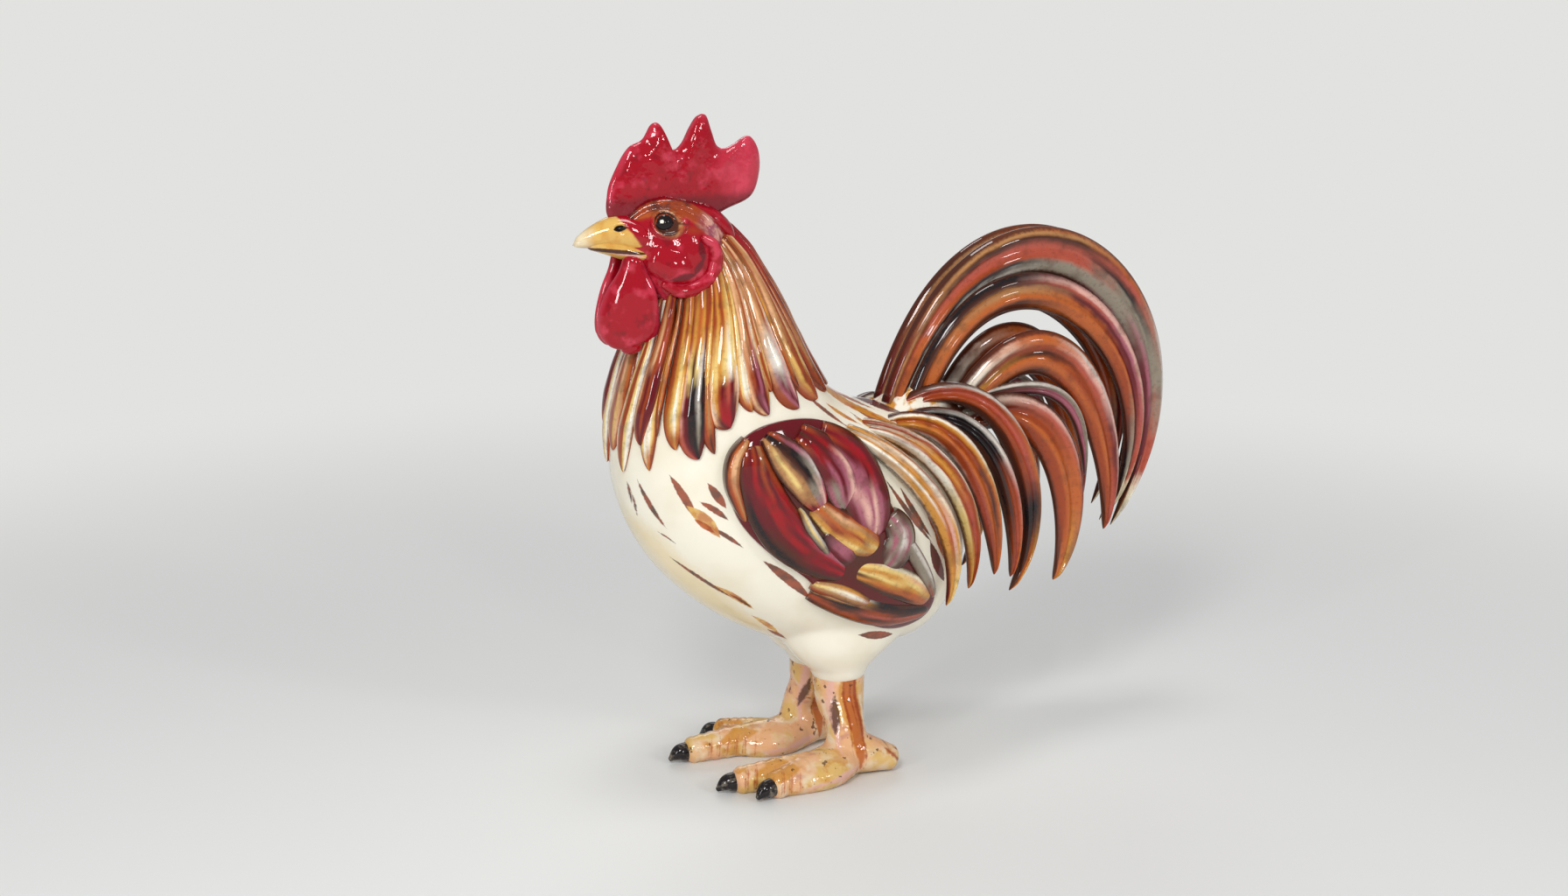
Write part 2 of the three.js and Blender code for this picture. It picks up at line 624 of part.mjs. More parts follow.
const sickles = [
  { name: 'tail_sickle_outer', colour: paint.tan, width: 22, rootShare: 0.5, widest: 0.42, steps: 13,
    run: [[52, -4, 166], [105, -5, 306], [241, -5, 199], [171, -5, 96]] },
  { name: 'tail_sickle_inner', colour: paint.coral, width: 18, rootShare: 0.75, widest: 0.45, steps: 12,
    run: [[63, -5, 160], [98, -8, 274], [218, -8, 186], [168, -8, 104]] },
  { name: 'tail_middle_arc', colour: paint.rust, width: 21, rootShare: 0.7, widest: 0.3, steps: 10,
    run: [[84, -7, 158], [134, -15, 232], [172, -15, 142], [162, -13, 97]] },
  { name: 'tail_slender_feather', colour: paint.grey, width: 7, rootShare: 0.8, widest: 0.4, thickness: 6,
    steps: 7, run: [[92, -9, 166], [138, -17, 180], [147, -18, 156], [148, -17, 126]] },
  { name: 'tail_lower_arc', colour: paint.coral, width: 20, rootShare: 0.7, widest: 0.35, steps: 9,
    run: [[88, -9, 156], [134, -21, 178], [148, -21, 106], [131, -19, 77]] },
  { name: 'covert_upper', colour: paint.umber, width: 12, rootShare: 0.7, widest: 0.5, steps: 10,
    run: [[58, -6, 166], [102, -25, 192], [132, -25, 112], [105, -23, 76]] },
  { name: 'covert_lower', colour: paint.black, width: 11, rootShare: 0.6, widest: 0.5, steps: 8,
    run: [[56, -10, 160], [92, -31, 173], [109, -30, 114], [103, -27, 84]] },
  { name: 'saddle_rear', colour: paint.honey, width: 13, rootShare: 0.5, widest: 0.5, steps: 8,
    run: [[42, -15, 160], [70, -38, 172], [92, -36, 125], [91, -33, 88]] },
  { name: 'saddle_middle', colour: paint.rust, width: 11, rootShare: 0.6, widest: 0.5, steps: 8,
    run: [[28, -22, 162], [55, -46, 160], [82, -42, 122], [76, -36, 84]] },
  { name: 'saddle_front', colour: paint.ochre, width: 11, rootShare: 0.6, widest: 0.5, steps: 8,
    run: [[17, -30, 162], [39, -50, 152], [73, -46, 116], [62, -41, 79]] },
];
const besideTail = [bodyWithGap, tailRootWithGap, wingWithGap, capeWithGap, middleGap];
const laid = [];
for (const feather of sickles) {
  const piece = withoutOffcuts(cut(sickle(feather), ...besideTail, ...laid));
  laid.push(sickle(feather, seatGap));
  addPair(feather.name, piece, feather.colour);
}

// Legs: each is one hand-pressed casting of shank, instep, heel spur and two front toes on a flat sole.
// Places on the ground are given as [x, distance from the middle plane].
const soleCut = solid(new THREE.BoxGeometry(2 * overallLength, 2 * overallLength, 40).translate(0, 0, -20));
const stances = [
  { name: 'left', hand: -1, ankle: [20, 25], instep: [4, 31], heel: [40, 30], toes: [[-33, 27], [-21, 39]] },
  { name: 'right', hand: 1, ankle: [17, 18], instep: [0, 16], heel: [38, 21], toes: [[-39, 17], [-17, 34]] },
];

function leg({ hand, ankle, instep, heel, toes }, grow = 0) {
  const over = ([x, y], z) => place(x, hand * y, z);
  const halfway = ([x, y]) => [(instep[0] + x) / 2, (instep[1] + y) / 2];
  const hip = thighSpacing / 2;
  const thighEnd = [over([legX, hip], hemHeight + 10), over([legX, hip * 1.1], 34)];
  const shank = limb([...thighEnd, over(ankle, 21), over(ankle, 8)], {
    width: [shankTopDiameter, shankTopDiameter * 0.92, ankleDiameter, ankleDiameter * 1.45],
    depth: [shankTopDiameter, shankTopDiameter * 0.88, ankleDiameter * 0.85, ankleDiameter * 1.2],
    steps: 5,
    sides: 10,
    grow,
  });
  const toeFork = [(toes[0][0] + toes[1][0]) / 2 + forkSetback, (toes[0][1] + toes[1][1]) / 2];
  const foot = limb([over(ankle, 8), over(instep, 5.5), over(toeFork, 4.5)], {
    width: [19, 17, 12.5],
    depth: [0.7, 1, 0.85].map((share) => share * footWidth),
    steps: 4,
    sides: 10,
    grow,
  });
  const toe = (tip) => limb([over(instep, 7), over(halfway(tip), 6.5), over(tip, toeDiameter * 0.42)], {
    width: [1.3, 1.15, 1].map((share) => share * toeDiameter),
    steps: 3,
    sides: 8,
    grow,
  });
  const spurMiddle = [(ankle[0] + heel[0]) / 2, (ankle[1] + heel[1]) / 2];
  const spur = limb([over(ankle, 11), over(spurMiddle, 8.5), over(heel, 6)], {
    width: [1.9, 1.4, 0.95].map((share) => share * toeDiameter),
    depth: [0.75, 0.7, 0.5].map((share) => share * footWidth),
    steps: 4,
    sides: 8,
    grow,
  });
  return joined([shank, foot, ...toes.map(toe), spur].map(solid));
}

function claw({ hand, instep }, [x, y]) {
  const [reachX, reachY] = [x - instep[0], y - instep[1]];
  const length = Math.hypot(reachX, reachY);
  const step = (distance, z) => {
    const share = distance / length;
    return place(x + reachX * share, hand * (y + reachY * share), z);
  };
  const rise = toeDiameter * 0.4;
  return solid(limb([step(0, rise), step(clawLength * 0.6, rise), step(clawLength, rise * 0.45)],
    { width: [clawDiameter, clawDiameter * 0.95, clawDiameter * 0.3], steps: 3, sides: 8 }));
}
for (const stance of stances) {
  add(`leg_${stance.name}`, geometryOf(cut(leg(stance), bodyWithGap, soleCut)), paint.flesh);
  const legWithGap = leg(stance, seatGap);
  ['inner', 'outer'].forEach((toe, i) => {
    const piece = cut(claw(stance, stance.toes[i]), legWithGap, soleCut);
    add(`claw_${toe}_${stance.name}`, geometryOf(piece), paint.black);
  });
}

add('body', geometryOf(cut(bodyOutside(), cavity, vent)), paint.cream);
add('head', geometryOf(headSolid), paint.crimson);
add('hackle_cape', geometryOf(cape), paint.honey);
add('comb', geometryOf(comb), paint.crimson);
add('beak_upper', geometryOf(upperBeakSolid), paint.ochre);
add('beak_lower', geometryOf(lowerBeakSolid), paint.ochre);
add('tail_root', geometryOf(tailRootSolid), paint.cream);
addPair('wattle', wattleSolid, paint.crimson);
addPair('earlobe', earlobeSolid, paint.crimson);
addPair('eye', solid(eyeball()), paint.black);
addPair('wing', wingSolid, paint.wine);

// The origin is under the middle of the bird, on the ground.
const extent = new THREE.Box3().setFromObject(bird);
bird.position.x = -(extent.min.x + extent.max.x) / 2;

export default bird;
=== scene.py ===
"""A glazed slip-cast rooster, built over its solid frame.

Forms are drawn in millimetres on a side view, as in the frame's own drawing, and turned into metres when a
mesh is made. The bird looks towards -X, its left side faces -Y and it stands on z = 0.
"""

import bpy
import numpy as np
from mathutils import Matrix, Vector


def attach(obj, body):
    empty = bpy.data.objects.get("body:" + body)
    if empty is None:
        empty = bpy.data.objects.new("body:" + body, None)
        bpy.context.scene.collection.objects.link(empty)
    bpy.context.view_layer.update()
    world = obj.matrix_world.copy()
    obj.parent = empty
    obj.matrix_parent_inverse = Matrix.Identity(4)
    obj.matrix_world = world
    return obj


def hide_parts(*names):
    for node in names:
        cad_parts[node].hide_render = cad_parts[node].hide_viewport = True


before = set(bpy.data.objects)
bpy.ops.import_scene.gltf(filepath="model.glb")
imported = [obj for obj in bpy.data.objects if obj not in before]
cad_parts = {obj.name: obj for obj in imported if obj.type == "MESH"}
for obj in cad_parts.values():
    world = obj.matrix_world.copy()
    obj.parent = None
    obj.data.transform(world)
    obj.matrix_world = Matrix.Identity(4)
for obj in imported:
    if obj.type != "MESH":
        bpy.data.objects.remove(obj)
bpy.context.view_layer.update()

bl_info = {
    "name": "Ceramic rooster",
    "version": (1, 0, 0),
    "blender": (4, 5, 0),
    "location": "3D View > Sidebar > Rooster",
    "description": "Builds a glazed slip-cast rooster over its solid frame",
    "category": "Add Mesh",
}

MM = 0.001
DRAWING_MIDDLE = 49.95  # x on the side view that lies at the frame's origin
LEFT, RIGHT = -1, 1     # sign of y on each side of the bird


# Lines and forms

def unit(vectors):
    """Each vector divided by its own length."""
    return vectors / np.linalg.norm(vectors, axis=-1, keepdims=True)


def through(points, at):
    """A smooth line through points, read at shares of its run: between two points a cubic that leaves each
    one along the line from its neighbour before to its neighbour after."""
    points = np.asarray(points, float)
    scaled = np.clip(np.asarray(at, float), 0, 1) * (len(points) - 1)
    first = np.minimum(scaled.astype(int), len(points) - 2)
    part = (scaled - first)[..., None]
    before, here, ahead, after = (points[np.clip(first + step, 0, len(points) - 1)] for step in (-1, 0, 1, 2))
    leave, arrive = (ahead - before) / 2, (after - here) / 2
    return (here + leave * part + (3 * (ahead - here) - 2 * leave - arrive) * part ** 2
            + (2 * (here - ahead) + leave + arrive) * part ** 3)


def closed_through(points, at):
    """The same line through points that close on themselves."""
    points = np.asarray(points, float)
    wrapped = np.concatenate([points[-2:], points, points[:3]])
    count = len(points)
    return through(wrapped, (2 + np.asarray(at) * count) / (count + 4))


def cubic(run, at):
    """A cubic curve with two handles, and its heading."""
    a, b, c, d = (np.asarray(point, float) for point in run)
    t = np.asarray(at, float)[..., None]
    place = (1 - t) ** 3 * a + 3 * (1 - t) ** 2 * t * b + 3 * (1 - t) * t ** 2 * c + t ** 3 * d
    heading = (1 - t) ** 2 * (b - a) + 2 * (1 - t) * t * (c - b) + t ** 2 * (d - c)
    return place, unit(heading)


def smooth(run, at):
    """A smooth line through points, and its heading."""
    at, near = np.asarray(at, float), 0.01
    return through(run, at), unit(through(run, at + near) - through(run, at - near))


def leaf(along, root_share, widest, roundness):
    """Width of a leaf along its length: from its root's share to full at the widest place, then round to its
    tip."""
    rising = root_share + (1 - root_share) * np.sin(np.pi / 2 * np.minimum(along / widest, 1))
    past = np.clip((along - widest) / (1 - widest), 0, 1)
    return np.where(along < widest, rising, (1 - past ** 2) ** roundness)


def signed_power(value, power):
    """The size of a value raised to a power, with the value's own sign."""
    return np.sign(value) * np.abs(value) ** power


class Form:
    """A rounded form drawn from the side. At each station its skin is an oval that runs from a point on the
    back line to a point on the belly line, as wide as the station's share of the form's width."""

    def __init__(self, width, fullness, start, end, stations):
        self.width, self.fullness = width, fullness
        self.start, self.end = (np.array([x, 0, z], float) for x, z in (start, end))
        self.back = np.array([back for back, belly, share in stations], float)
        self.belly = np.array([belly for back, belly, share in stations], float)
        self.share = np.array([[share] for back, belly, share in stations], float)

    def section(self, along):
        """A station's middle, its upward axis, and half the height and width of its oval."""
        back, belly = through(self.back, along), through(self.belly, along)
        rise = np.linalg.norm(back - belly, axis=-1) / 2
        half = through(self.share, along)[..., 0] * self.width / 2
        return (back + belly) / 2, (back - belly) / (2 * rise[..., None]), rise, half

    def point(self, along, turn, lift=0):
        """The skin at a station: the middle, plus the upward axis times the oval's cosine, with the oval's
        sine as y. The turn is 0 on the back line and pi on the belly line."""
        middle, up, rise, half = self.section(along)
        height = signed_power(np.cos(turn), self.fullness) * (rise + lift)
        beside = signed_power(np.sin(turn), self.fullness) * (half + lift)
        return np.stack([middle[..., 0] + up[..., 0] * height, beside,
                         middle[..., 1] + up[..., 1] * height], -1)

    def half_width(self, x, z):
        """Half the form's width behind points of the side view. The station whose oval holds each point is
        found by halving the run, and the oval's equation gives the width there."""
        x, z = np.broadcast_arrays(np.asarray(x, float), np.asarray(z, float))
        low, high = np.zeros(x.shape), np.ones(x.shape)

        def ahead(along):
            middle, up, *_ = self.section(along)
            return up[..., 0] * (z - middle[..., 1]) - up[..., 1] * (x - middle[..., 0])

        forwards = np.sign(ahead(low))
        for _ in range(24):
            between = (low + high) / 2
            further = ahead(between) * forwards > 0
            low, high = np.where(further, between, low), np.where(further, high, between)
        middle, up, rise, half = self.section((low + high) / 2)
        level = np.abs((x - middle[..., 0]) * up[..., 0] + (z - middle[..., 1]) * up[..., 1]) / rise
        inside = np.clip(1 - level ** (2 / self.fullness), 0, 1)
        return half * inside ** (self.fullness / 2)


# Skins and meshes

class Skin:
    """The closed shells of one piece, with the values that its paint follows kept on their points."""

    def __init__(self):
        self.points = []
        self.faces = []
        self.paints = []
        self.values = []
        self.size = 0

    def wrap(self, grid, start, end, paint=0, across=0, along=0, tone=0):
        """Adds a shell whose rows of points close on themselves and whose ends are drawn together at two
        points. Its faces are turned outwards by the sign of its volume."""
        rows, turns = grid.shape[:2]
        points = np.concatenate([np.reshape(start, (1, 3)), grid.reshape(-1, 3), np.reshape(end, (1, 3))])
        here = 1 + np.arange(rows * turns).reshape(rows, turns)
        beside = np.roll(here, -1, axis=1)
        quads = np.stack([here[:-1], beside[:-1], beside[1:], here[1:]], -1).reshape(-1, 4)
        first = np.stack([np.zeros(turns, int), beside[0], here[0]], -1)
        last = np.stack([here[-1], beside[-1], np.full(turns, len(points) - 1)], -1)
        corners = np.concatenate([quads[:, :3], quads[:, [0, 2, 3]], first, last])
        a, b, c = (points[corners[:, i]] - points[0] for i in range(3))
        step = 1 if np.einsum("ij,ij->", a, np.cross(b, c)) > 0 else -1
        for part in (quads, first, last):
            self.faces += (part[:, ::step] + self.size).tolist()
        self.paints += [paint] * (len(quads) + len(first) + len(last))
        self.points.append(points)
        kept = [np.broadcast_to(np.asarray(value, float), (rows, turns)) for value in (across, along, tone)]
        self.values.append(np.stack([np.r_[v[0].mean(), v.ravel(), v[-1].mean()] for v in kept], -1))
        self.size += len(points)
        return self

    def mirrored(self):
        """The same skin on the bird's other side."""
        twin = Skin()
        twin.points = [points * (1, -1, 1) for points in self.points]
        twin.faces = [face[::-1] for face in self.faces]
        twin.paints, twin.values, twin.size = self.paints, self.values, self.size
        return twin

    def mesh(self, name):
        """The skin as a smooth mesh in metres, with each kept value as an attribute of its points."""
        mesh = bpy.data.meshes.new(name)
        points = (np.concatenate(self.points) - (DRAWING_MIDDLE, 0, 0)) * MM
        mesh.from_pydata(points.tolist(), [], self.faces)
        for index, value in enumerate(("across", "along", "tone")):
            kept = mesh.attributes.new(value, "FLOAT", "POINT")
            kept.data.foreach_set("value", np.concatenate(self.values)[:, index].astype(np.float32))
        mesh.polygons.foreach_set("use_smooth", np.ones(len(mesh.polygons), bool))
        mesh.update()
        return mesh


def put(name, data):
    """Puts a mesh, a lamp or a camera in the scene."""
    made = bpy.data.objects.new(name, data)
    bpy.context.collection.objects.link(made)
    return made


def place_piece(mesh, name, slot, *glazes, paints=None):
    """Puts a finished mesh in the scene as a piece that stands for the frame's node of the same name."""
    for glaze in glazes:
        mesh.materials.append(glaze)
    if paints:
        mesh.polygons.foreach_set("material_index", np.array(paints, np.int32))
    piece = put(f"{name}_glazed", mesh)
    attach(piece, "root")
    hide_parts(name)


def place_pair(skin, name, slot, *glazes):
    """Puts a skin made for the left side on both sides."""
    place_piece(skin.mesh(name), f"{name}_left", slot, *glazes, paints=skin.paints)
    place_piece(skin.mirrored().mesh(name), f"{name}_right", slot, *glazes, paints=skin.paints)


def run_together(skin, name, cube, passes, hole=None):
    """Runs a skin's shells into one soft clay form: remade in cubes of one size and relaxed. A hole is cut
    last."""
    worked = put(name, skin.mesh(name))
    remade = worked.modifiers.new("Run together", "REMESH")
    remade.mode = "VOXEL"
    remade.voxel_size = cube
    remade.use_smooth_shade = True
    relaxed = worked.modifiers.new("Relax", "SMOOTH")
    relaxed.factor = 0.5
    relaxed.iterations = passes
    if hole:
        cutter = put("hole", hole.mesh("hole"))
        pierced = worked.modifiers.new("Pierce", "BOOLEAN")
        pierced.operation = "DIFFERENCE"
        pierced.object = cutter
        pierced.solver = "EXACT"
    finished = bpy.data.meshes.new_from_object(worked.evaluated_get(bpy.context.evaluated_depsgraph_get()))
    bpy.data.objects.remove(worked)
    if hole:
        bpy.data.objects.remove(cutter)
    finished.name = name
    return finished


def form_shell(skin, form, rows, turns):
    """Adds a form's whole skin: its point at each station and turn."""
    along = np.linspace(0, 1, rows)[:, None]
    turn = np.linspace(0, 2 * np.pi, turns, endpoint=False)[None]
    return skin.wrap(form.point(along, turn), form.start, form.end, along=along)


DOME_ROWS = 5      # rows of points on the dome that closes a limb's end
RING_WAVES = 7     # rings that a whole limb would have
RINGS_FROM = 0.35  # share of the limb at which they begin


def limb(skin, points, width, depth=None, rows=40, turns=28, rings=0):
    """Adds an oval carried along a smooth path. Width lies across the path in the upright plane and depth
    level beside it, both read along the path, and each end is closed by a dome a third as high as it is wide.
    Rings are shallow waves of the width, as a share of it."""
    at = np.linspace(0, 1, rows)
    path = through(points, at)
    heading = unit(np.gradient(path, axis=0))
    sizes = through(np.stack([width, width if depth is None else depth], -1), at) / 2
    sizes = sizes * (1 + rings * np.cos(at * RING_WAVES * 2 * np.pi) * (at > RINGS_FROM))[:, None]
    quarter = np.linspace(0, np.pi / 2, DOME_ROWS + 2)[1:-1]
    reach = np.concatenate([-np.sin(quarter[::-1]) * sizes[0, 0] * 2 / 3, 0 * at,
                            np.sin(quarter) * sizes[-1, 0] * 2 / 3])
    shrink = np.concatenate([np.cos(quarter[::-1]), 1 + 0 * at, np.cos(quarter)])

    def spread(rows_of):
        return np.concatenate([np.repeat(rows_of[:1], DOME_ROWS, 0), rows_of,
                               np.repeat(rows_of[-1:], DOME_ROWS, 0)])

    path, heading, sizes, at = spread(path), spread(heading), spread(sizes) * shrink[:, None], spread(at)
    path = path + heading * reach[:, None]
    beside = unit(np.array([0, 1, 0]) - heading * heading[:, 1:2])
    over = np.cross(beside, heading)
    turn = np.linspace(0, 2 * np.pi, turns, endpoint=False)[None, :, None]
    grid = (path[:, None] + np.cos(turn) * over[:, None] * sizes[:, None, :1]
            + np.sin(turn) * beside[:, None] * sizes[:, None, 1:])
    ends = through(points, [0, 1]) + heading[[0, -1]] * [[-width[0] / 3], [width[-1] / 3]]
    return skin.wrap(grid, ends[0], ends[1], along=at[:, None], across=np.cos(turn[..., 0]))


RIM = 1.5       # radius at which the edges of laid feathers and plates round down
SUNK = 3        # depth to which their undersides reach into the form under them
TOP_FACES = 25  # points across a feather's top


def laid_feather(skin, spot, path, half, shape, lift, crown, rows=44, tone=0, paint=0):
    """Adds a feather laid on a form. Its top is the lift, plus the crown times 1 - across squared, plus a rim
    that rounds down at both edges; it settles towards its root and its tip, and its underside lies sunk.
    Spot turns two places on the surface and a height into a point, and half is in the first place's unit."""
    along = np.sin(np.pi / 2 * np.linspace(0, 1, rows, endpoint=False))[:, None]
    across = np.cos(np.linspace(np.pi, 0, TOP_FACES))[None]
    across = np.concatenate([across, across[:, ::-1][:, 3:-3:3]], 1)
    top = np.arange(across.shape[1]) < TOP_FACES
    middle, heading = path(along[:, 0])
    reach = (half * shape(along[:, 0]))[:, None] * across
    rounded = lift - RIM + crown * (1 - across ** 2) + RIM * np.sqrt(np.clip(1 - across ** 8, 0, 1))
    settle = np.clip(np.minimum(4 * (1 - along), 0.2 + 6 * along), 0, 1) ** 0.5
    height = np.where(top, rounded * settle + (1 - settle) * lift / 2, -SUNK)
    grid = spot(middle[:, None, 0] - heading[:, None, 1] * reach,
                middle[:, None, 1] + heading[:, None, 0] * reach, height)
    start, end = path(np.array([0.0, 1.0]))[0]
    return skin.wrap(grid, spot(*start, lift / 2), spot(*end, lift / 4), paint=paint, across=across,
                     along=along, tone=tone)


# Paint and glaze

def linear(colour):
    """A colour as it is seen, in shares of full, turned into the light that it stands for."""
    seen = np.array(colour[:3])
    return (*np.where(seen <= 0.04045, seen / 12.92, ((seen + 0.055) / 1.055) ** 2.4), 1.0)


class Socket:
    """A node's output. Sums of its number with numbers and other sockets add Math nodes."""

    def __init__(self, glaze, socket):
        self.glaze, self.socket = glaze, socket

    def __add__(self, other):
        return self.glaze.math("ADD", self, other)

    def __sub__(self, other):
        return self.glaze.math("SUBTRACT", self, other)

    def __rsub__(self, other):
        return self.glaze.math("SUBTRACT", other, self)

    def __mul__(self, other):
        return self.glaze.math("MULTIPLY", self, other)

    def __truediv__(self, other):
        return self.glaze.math("DIVIDE", self, other)

    def __abs__(self):
        return self.glaze.math("ABSOLUTE", self)

    def __or__(self, other):
        """The larger of two masks."""
        return self.glaze.math("MAXIMUM", self, other)

    __radd__, __rmul__ = __add__, __mul__

    def held(self):
        """The number, held between 0 and 1."""
        return self.glaze.node("ShaderNodeClamp", {}, {0: self})


def any_of(masks):
    """Where any of several masks lies: the largest of them."""
    whole, *others = masks
    for mask in others:
        whole = whole | mask
    return whole


class Glaze:
    """Paint under a clear glaze: a material and the nodes that it is mixed from."""

    def __init__(self, name):
        self.material = bpy.data.materials.new(name)
        self.material.use_nodes = True
        self.tree = self.material.node_tree
        self.tree.nodes.clear()
        bare = self.node("ShaderNodeTexCoord", {}, {}, "Object")
        self.spot = self.vector("MULTIPLY_ADD", {0: bare, 1: (1 / MM,) * 3, 2: (DRAWING_MIDDLE, 0, 0)})

    def node(self, kind, settings, inputs, output=0):
        """Adds a node of a type with its settings, then gives its sockets their values or links."""
        node = self.tree.nodes.new(kind)
        for name, value in settings.items():
            setattr(node, name, value)
        for name, value in inputs.items():
            if isinstance(value, Socket):
                self.tree.links.new(value.socket, node.inputs[name])
            else:
                node.inputs[name].default_value = value
        return Socket(self, node.outputs[output])

    def math(self, operation, *values):
        return self.node("ShaderNodeMath", {"operation": operation}, dict(enumerate(values)))

    def vector(self, operation, inputs, output=0):
        return self.node("ShaderNodeVectorMath", {"operation": operation}, inputs, output)

    def mix(self, share, first, second):
        """The first colour, turned into the second by a share."""
        return self.node("ShaderNodeMix", {"data_type": "RGBA"}, {0: share, 6: first, 7: second}, 2)

    def over(self, colour, name, share):
        """A colour with a paint of the box laid over it by a share."""
        return self.mix(share, colour, paint(name))

    def value(self, name):
        """A value kept on the piece's points."""
        return self.node("ShaderNodeAttribute", {"attribute_name": name}, {}, "Fac")

    def rise(self, value, low, high):
        """0 below low, 1 above high and a soft step between."""
        return self.node("ShaderNodeMapRange", {"interpolation_type": "SMOOTHSTEP"},
                         {0: value, 1: low, 2: high})

    def ramp(self, value, stops):
        """A colour for each place of a value from -1 to 1, in soft steps."""
        node = self.tree.nodes.new("ShaderNodeValToRGB")
        node.color_ramp.interpolation = "EASE"
        elements = node.color_ramp.elements
        while len(elements) < len(stops):
            elements.new(0.5)
        for element, (place, colour) in zip(elements, stops):
            element.position, element.color = (place + 1) / 2, colour
        self.tree.links.new((value * 0.5 + 0.5).socket, node.inputs[0])
        return Socket(self, node.outputs[0])

    def mottle(self, size, detail=2.0, vector=None, stretch=(1, 1, 1)):
        """Cloudy noise from 0 to 1 whose clouds are about a size across, in millimetres."""
        scaled = self.vector("MULTIPLY", {0: vector or self.spot, 1: tuple(part / size for part in stretch)})
        return self.node("ShaderNodeTexNoise", {}, {"Vector": scaled, "Scale": 1.0, "Detail": detail})

    def clouds(self, size, low, high, detail=3.0):
        """Clouds with soft edges: a mottle's rise from low to high."""
        return self.rise(self.mottle(size, detail), low, high)

    def sway(self, size, reach, detail=2.0):
        """A mottle as a shift to either side, by at most half the reach."""
        return (self.mottle(size, detail) - 0.5) * reach

    def level(self, x, y, z):
        """How far a point lies along a direction: the sum of its places times the direction's shares."""
        return self.vector("DOT_PRODUCT", {0: self.spot, 1: (x, y, z)}, "Value")

    def stroke(self, start, end, width, bend, wobble, soft):
        """Where a brush stroke lies in the side view. Along it the swell is 4 times its share done times its
        share left. It covers what is nearer to its middle line, bent by the swell, than the swell times half
        its width, give or take a wobble, and its edge is soft."""
        (x, z), (to_x, to_z) = start, end
        length = np.hypot(to_x - x, to_z - z)
        ahead_x, ahead_z = (to_x - x) / length, (to_z - z) / length
        done = self.level(ahead_x / length, 0, ahead_z / length) - (x * ahead_x + z * ahead_z) / length
        swell = done * (1 - done) * 4
        off = self.level(-ahead_z, 0, ahead_x) - (z * ahead_x - x * ahead_z)
        if bend:
            off = off - swell * bend
        return ((swell * (width / 2) - abs(off) + wobble) / soft).held()

    def strokes(self, runs, wobble, soft=0.35):
        """Where any of several brush strokes lies."""
        return any_of([self.stroke(*run, wobble, soft) for run in runs])

    def near(self, x, z, radius, soft):
        """A round patch in the side view."""
        flat = self.vector("MULTIPLY", {0: self.spot, 1: (1, 0, 1)})
        far = self.vector("DISTANCE", {0: flat, 1: (x, 0, z)}, "Value")
        return 1 - self.rise(far, radius - soft, radius + soft)

    def finish(self, colour, height=None, shine=0.5):
        """Joins the colour and a height in millimetres, with the glaze's own slow ripple, to the shader."""
        ripple = self.mottle(mm("glaze", "ripple_size"), 1.0) * mm("glaze", "ripple_height")
        relief = ripple if height is None else ripple + height
        bump = self.node("ShaderNodeBump", {}, {"Strength": 1.0, "Distance": MM, "Height": relief})
        return self.surface(self.node("ShaderNodeBsdfPrincipled", {}, {
            "Base Color": colour,
            "Normal": bump,
            "Roughness": settings("glaze").roughness,
            "IOR": 1.45,
            "Specular IOR Level": shine,
        }))

    def surface(self, shader):
        """Gives the material a shader for its surface."""
        output = self.tree.nodes.new("ShaderNodeOutputMaterial")
        self.tree.links.new(shader.socket, output.inputs["Surface"])
        return self.material


def paint(name):
    """A colour of the paint box, as the shader needs it."""
    return linear(getattr(settings("paints"), name))


def feather_glaze(name, bands, edge="umber"):
    """Paint that runs along a feather: at each place along it, colours set side by side and evenly across it.
    Brush streaks shift them across and stretch along the feather. Brown clouds and grains and a dark line
    along both edges lie over them."""
    glaze = Glaze(name)
    across, along, tone = (glaze.value(value) for value in ("across", "along", "tone"))
    laid = glaze.node("ShaderNodeCombineXYZ", {}, {0: across * 2.6, 1: along * 2.2, 2: tone * 40})
    brush, cloud, grain = glaze.mottle(1.0, 3.0, laid), glaze.mottle(9.0), glaze.mottle(1.6, 4.0)
    across_shifted = across + (brush - 0.5) * 0.4 + (cloud - 0.5) * 0.24
    along_shifted = along + (cloud - 0.5) * 0.12 + (brush - 0.5) * 0.16
    colour, last = None, 0
    for place, names in bands:
        names = names.split()
        stops = [(2 * i / (len(names) - 1) - 1, paint(which)) for i, which in enumerate(names)]
        ramp = glaze.ramp(across_shifted, stops)
        colour = glaze.mix(glaze.rise(along_shifted, last, place), colour, ramp) if colour else ramp
        last = place
    colour = glaze.over(colour, "umber", glaze.rise(cloud, 0.52, 0.72) * 0.35)
    colour = glaze.over(colour, "umber", glaze.rise(grain, 0.5, 0.75) * 0.3)
    edges = glaze.rise(abs(across) + (brush - 0.5) * 0.3 + (grain - 0.5) * 0.2, 0.8, 0.97)
    return glaze.finish(glaze.over(colour, edge, edges * 0.8), brush * 0.05)


# What a user may change

def length(name, description, millimetres):
    return bpy.props.FloatProperty(name=name, description=description, default=millimetres * MM, min=0.0,
                                   precision=5, unit="LENGTH", subtype="DISTANCE")


def share(name, description, value):
    return bpy.props.FloatProperty(name=name, description=description, default=value, min=0.0, max=1.0,
                                   subtype="FACTOR")


def angle(name, description, degrees):
    return bpy.props.FloatProperty(name=name, description=description, default=np.radians(degrees),
                                   subtype="ANGLE")


def power(name, description, watts):
    return bpy.props.FloatProperty(name=name, description=description, default=watts, unit="POWER")


def colour(name, description, red, green, blue):
    return bpy.props.FloatVectorProperty(name=name, description=description, subtype="COLOR_GAMMA", size=3,
                                         min=0.0, max=1.0, default=(red / 255, green / 255, blue / 255))


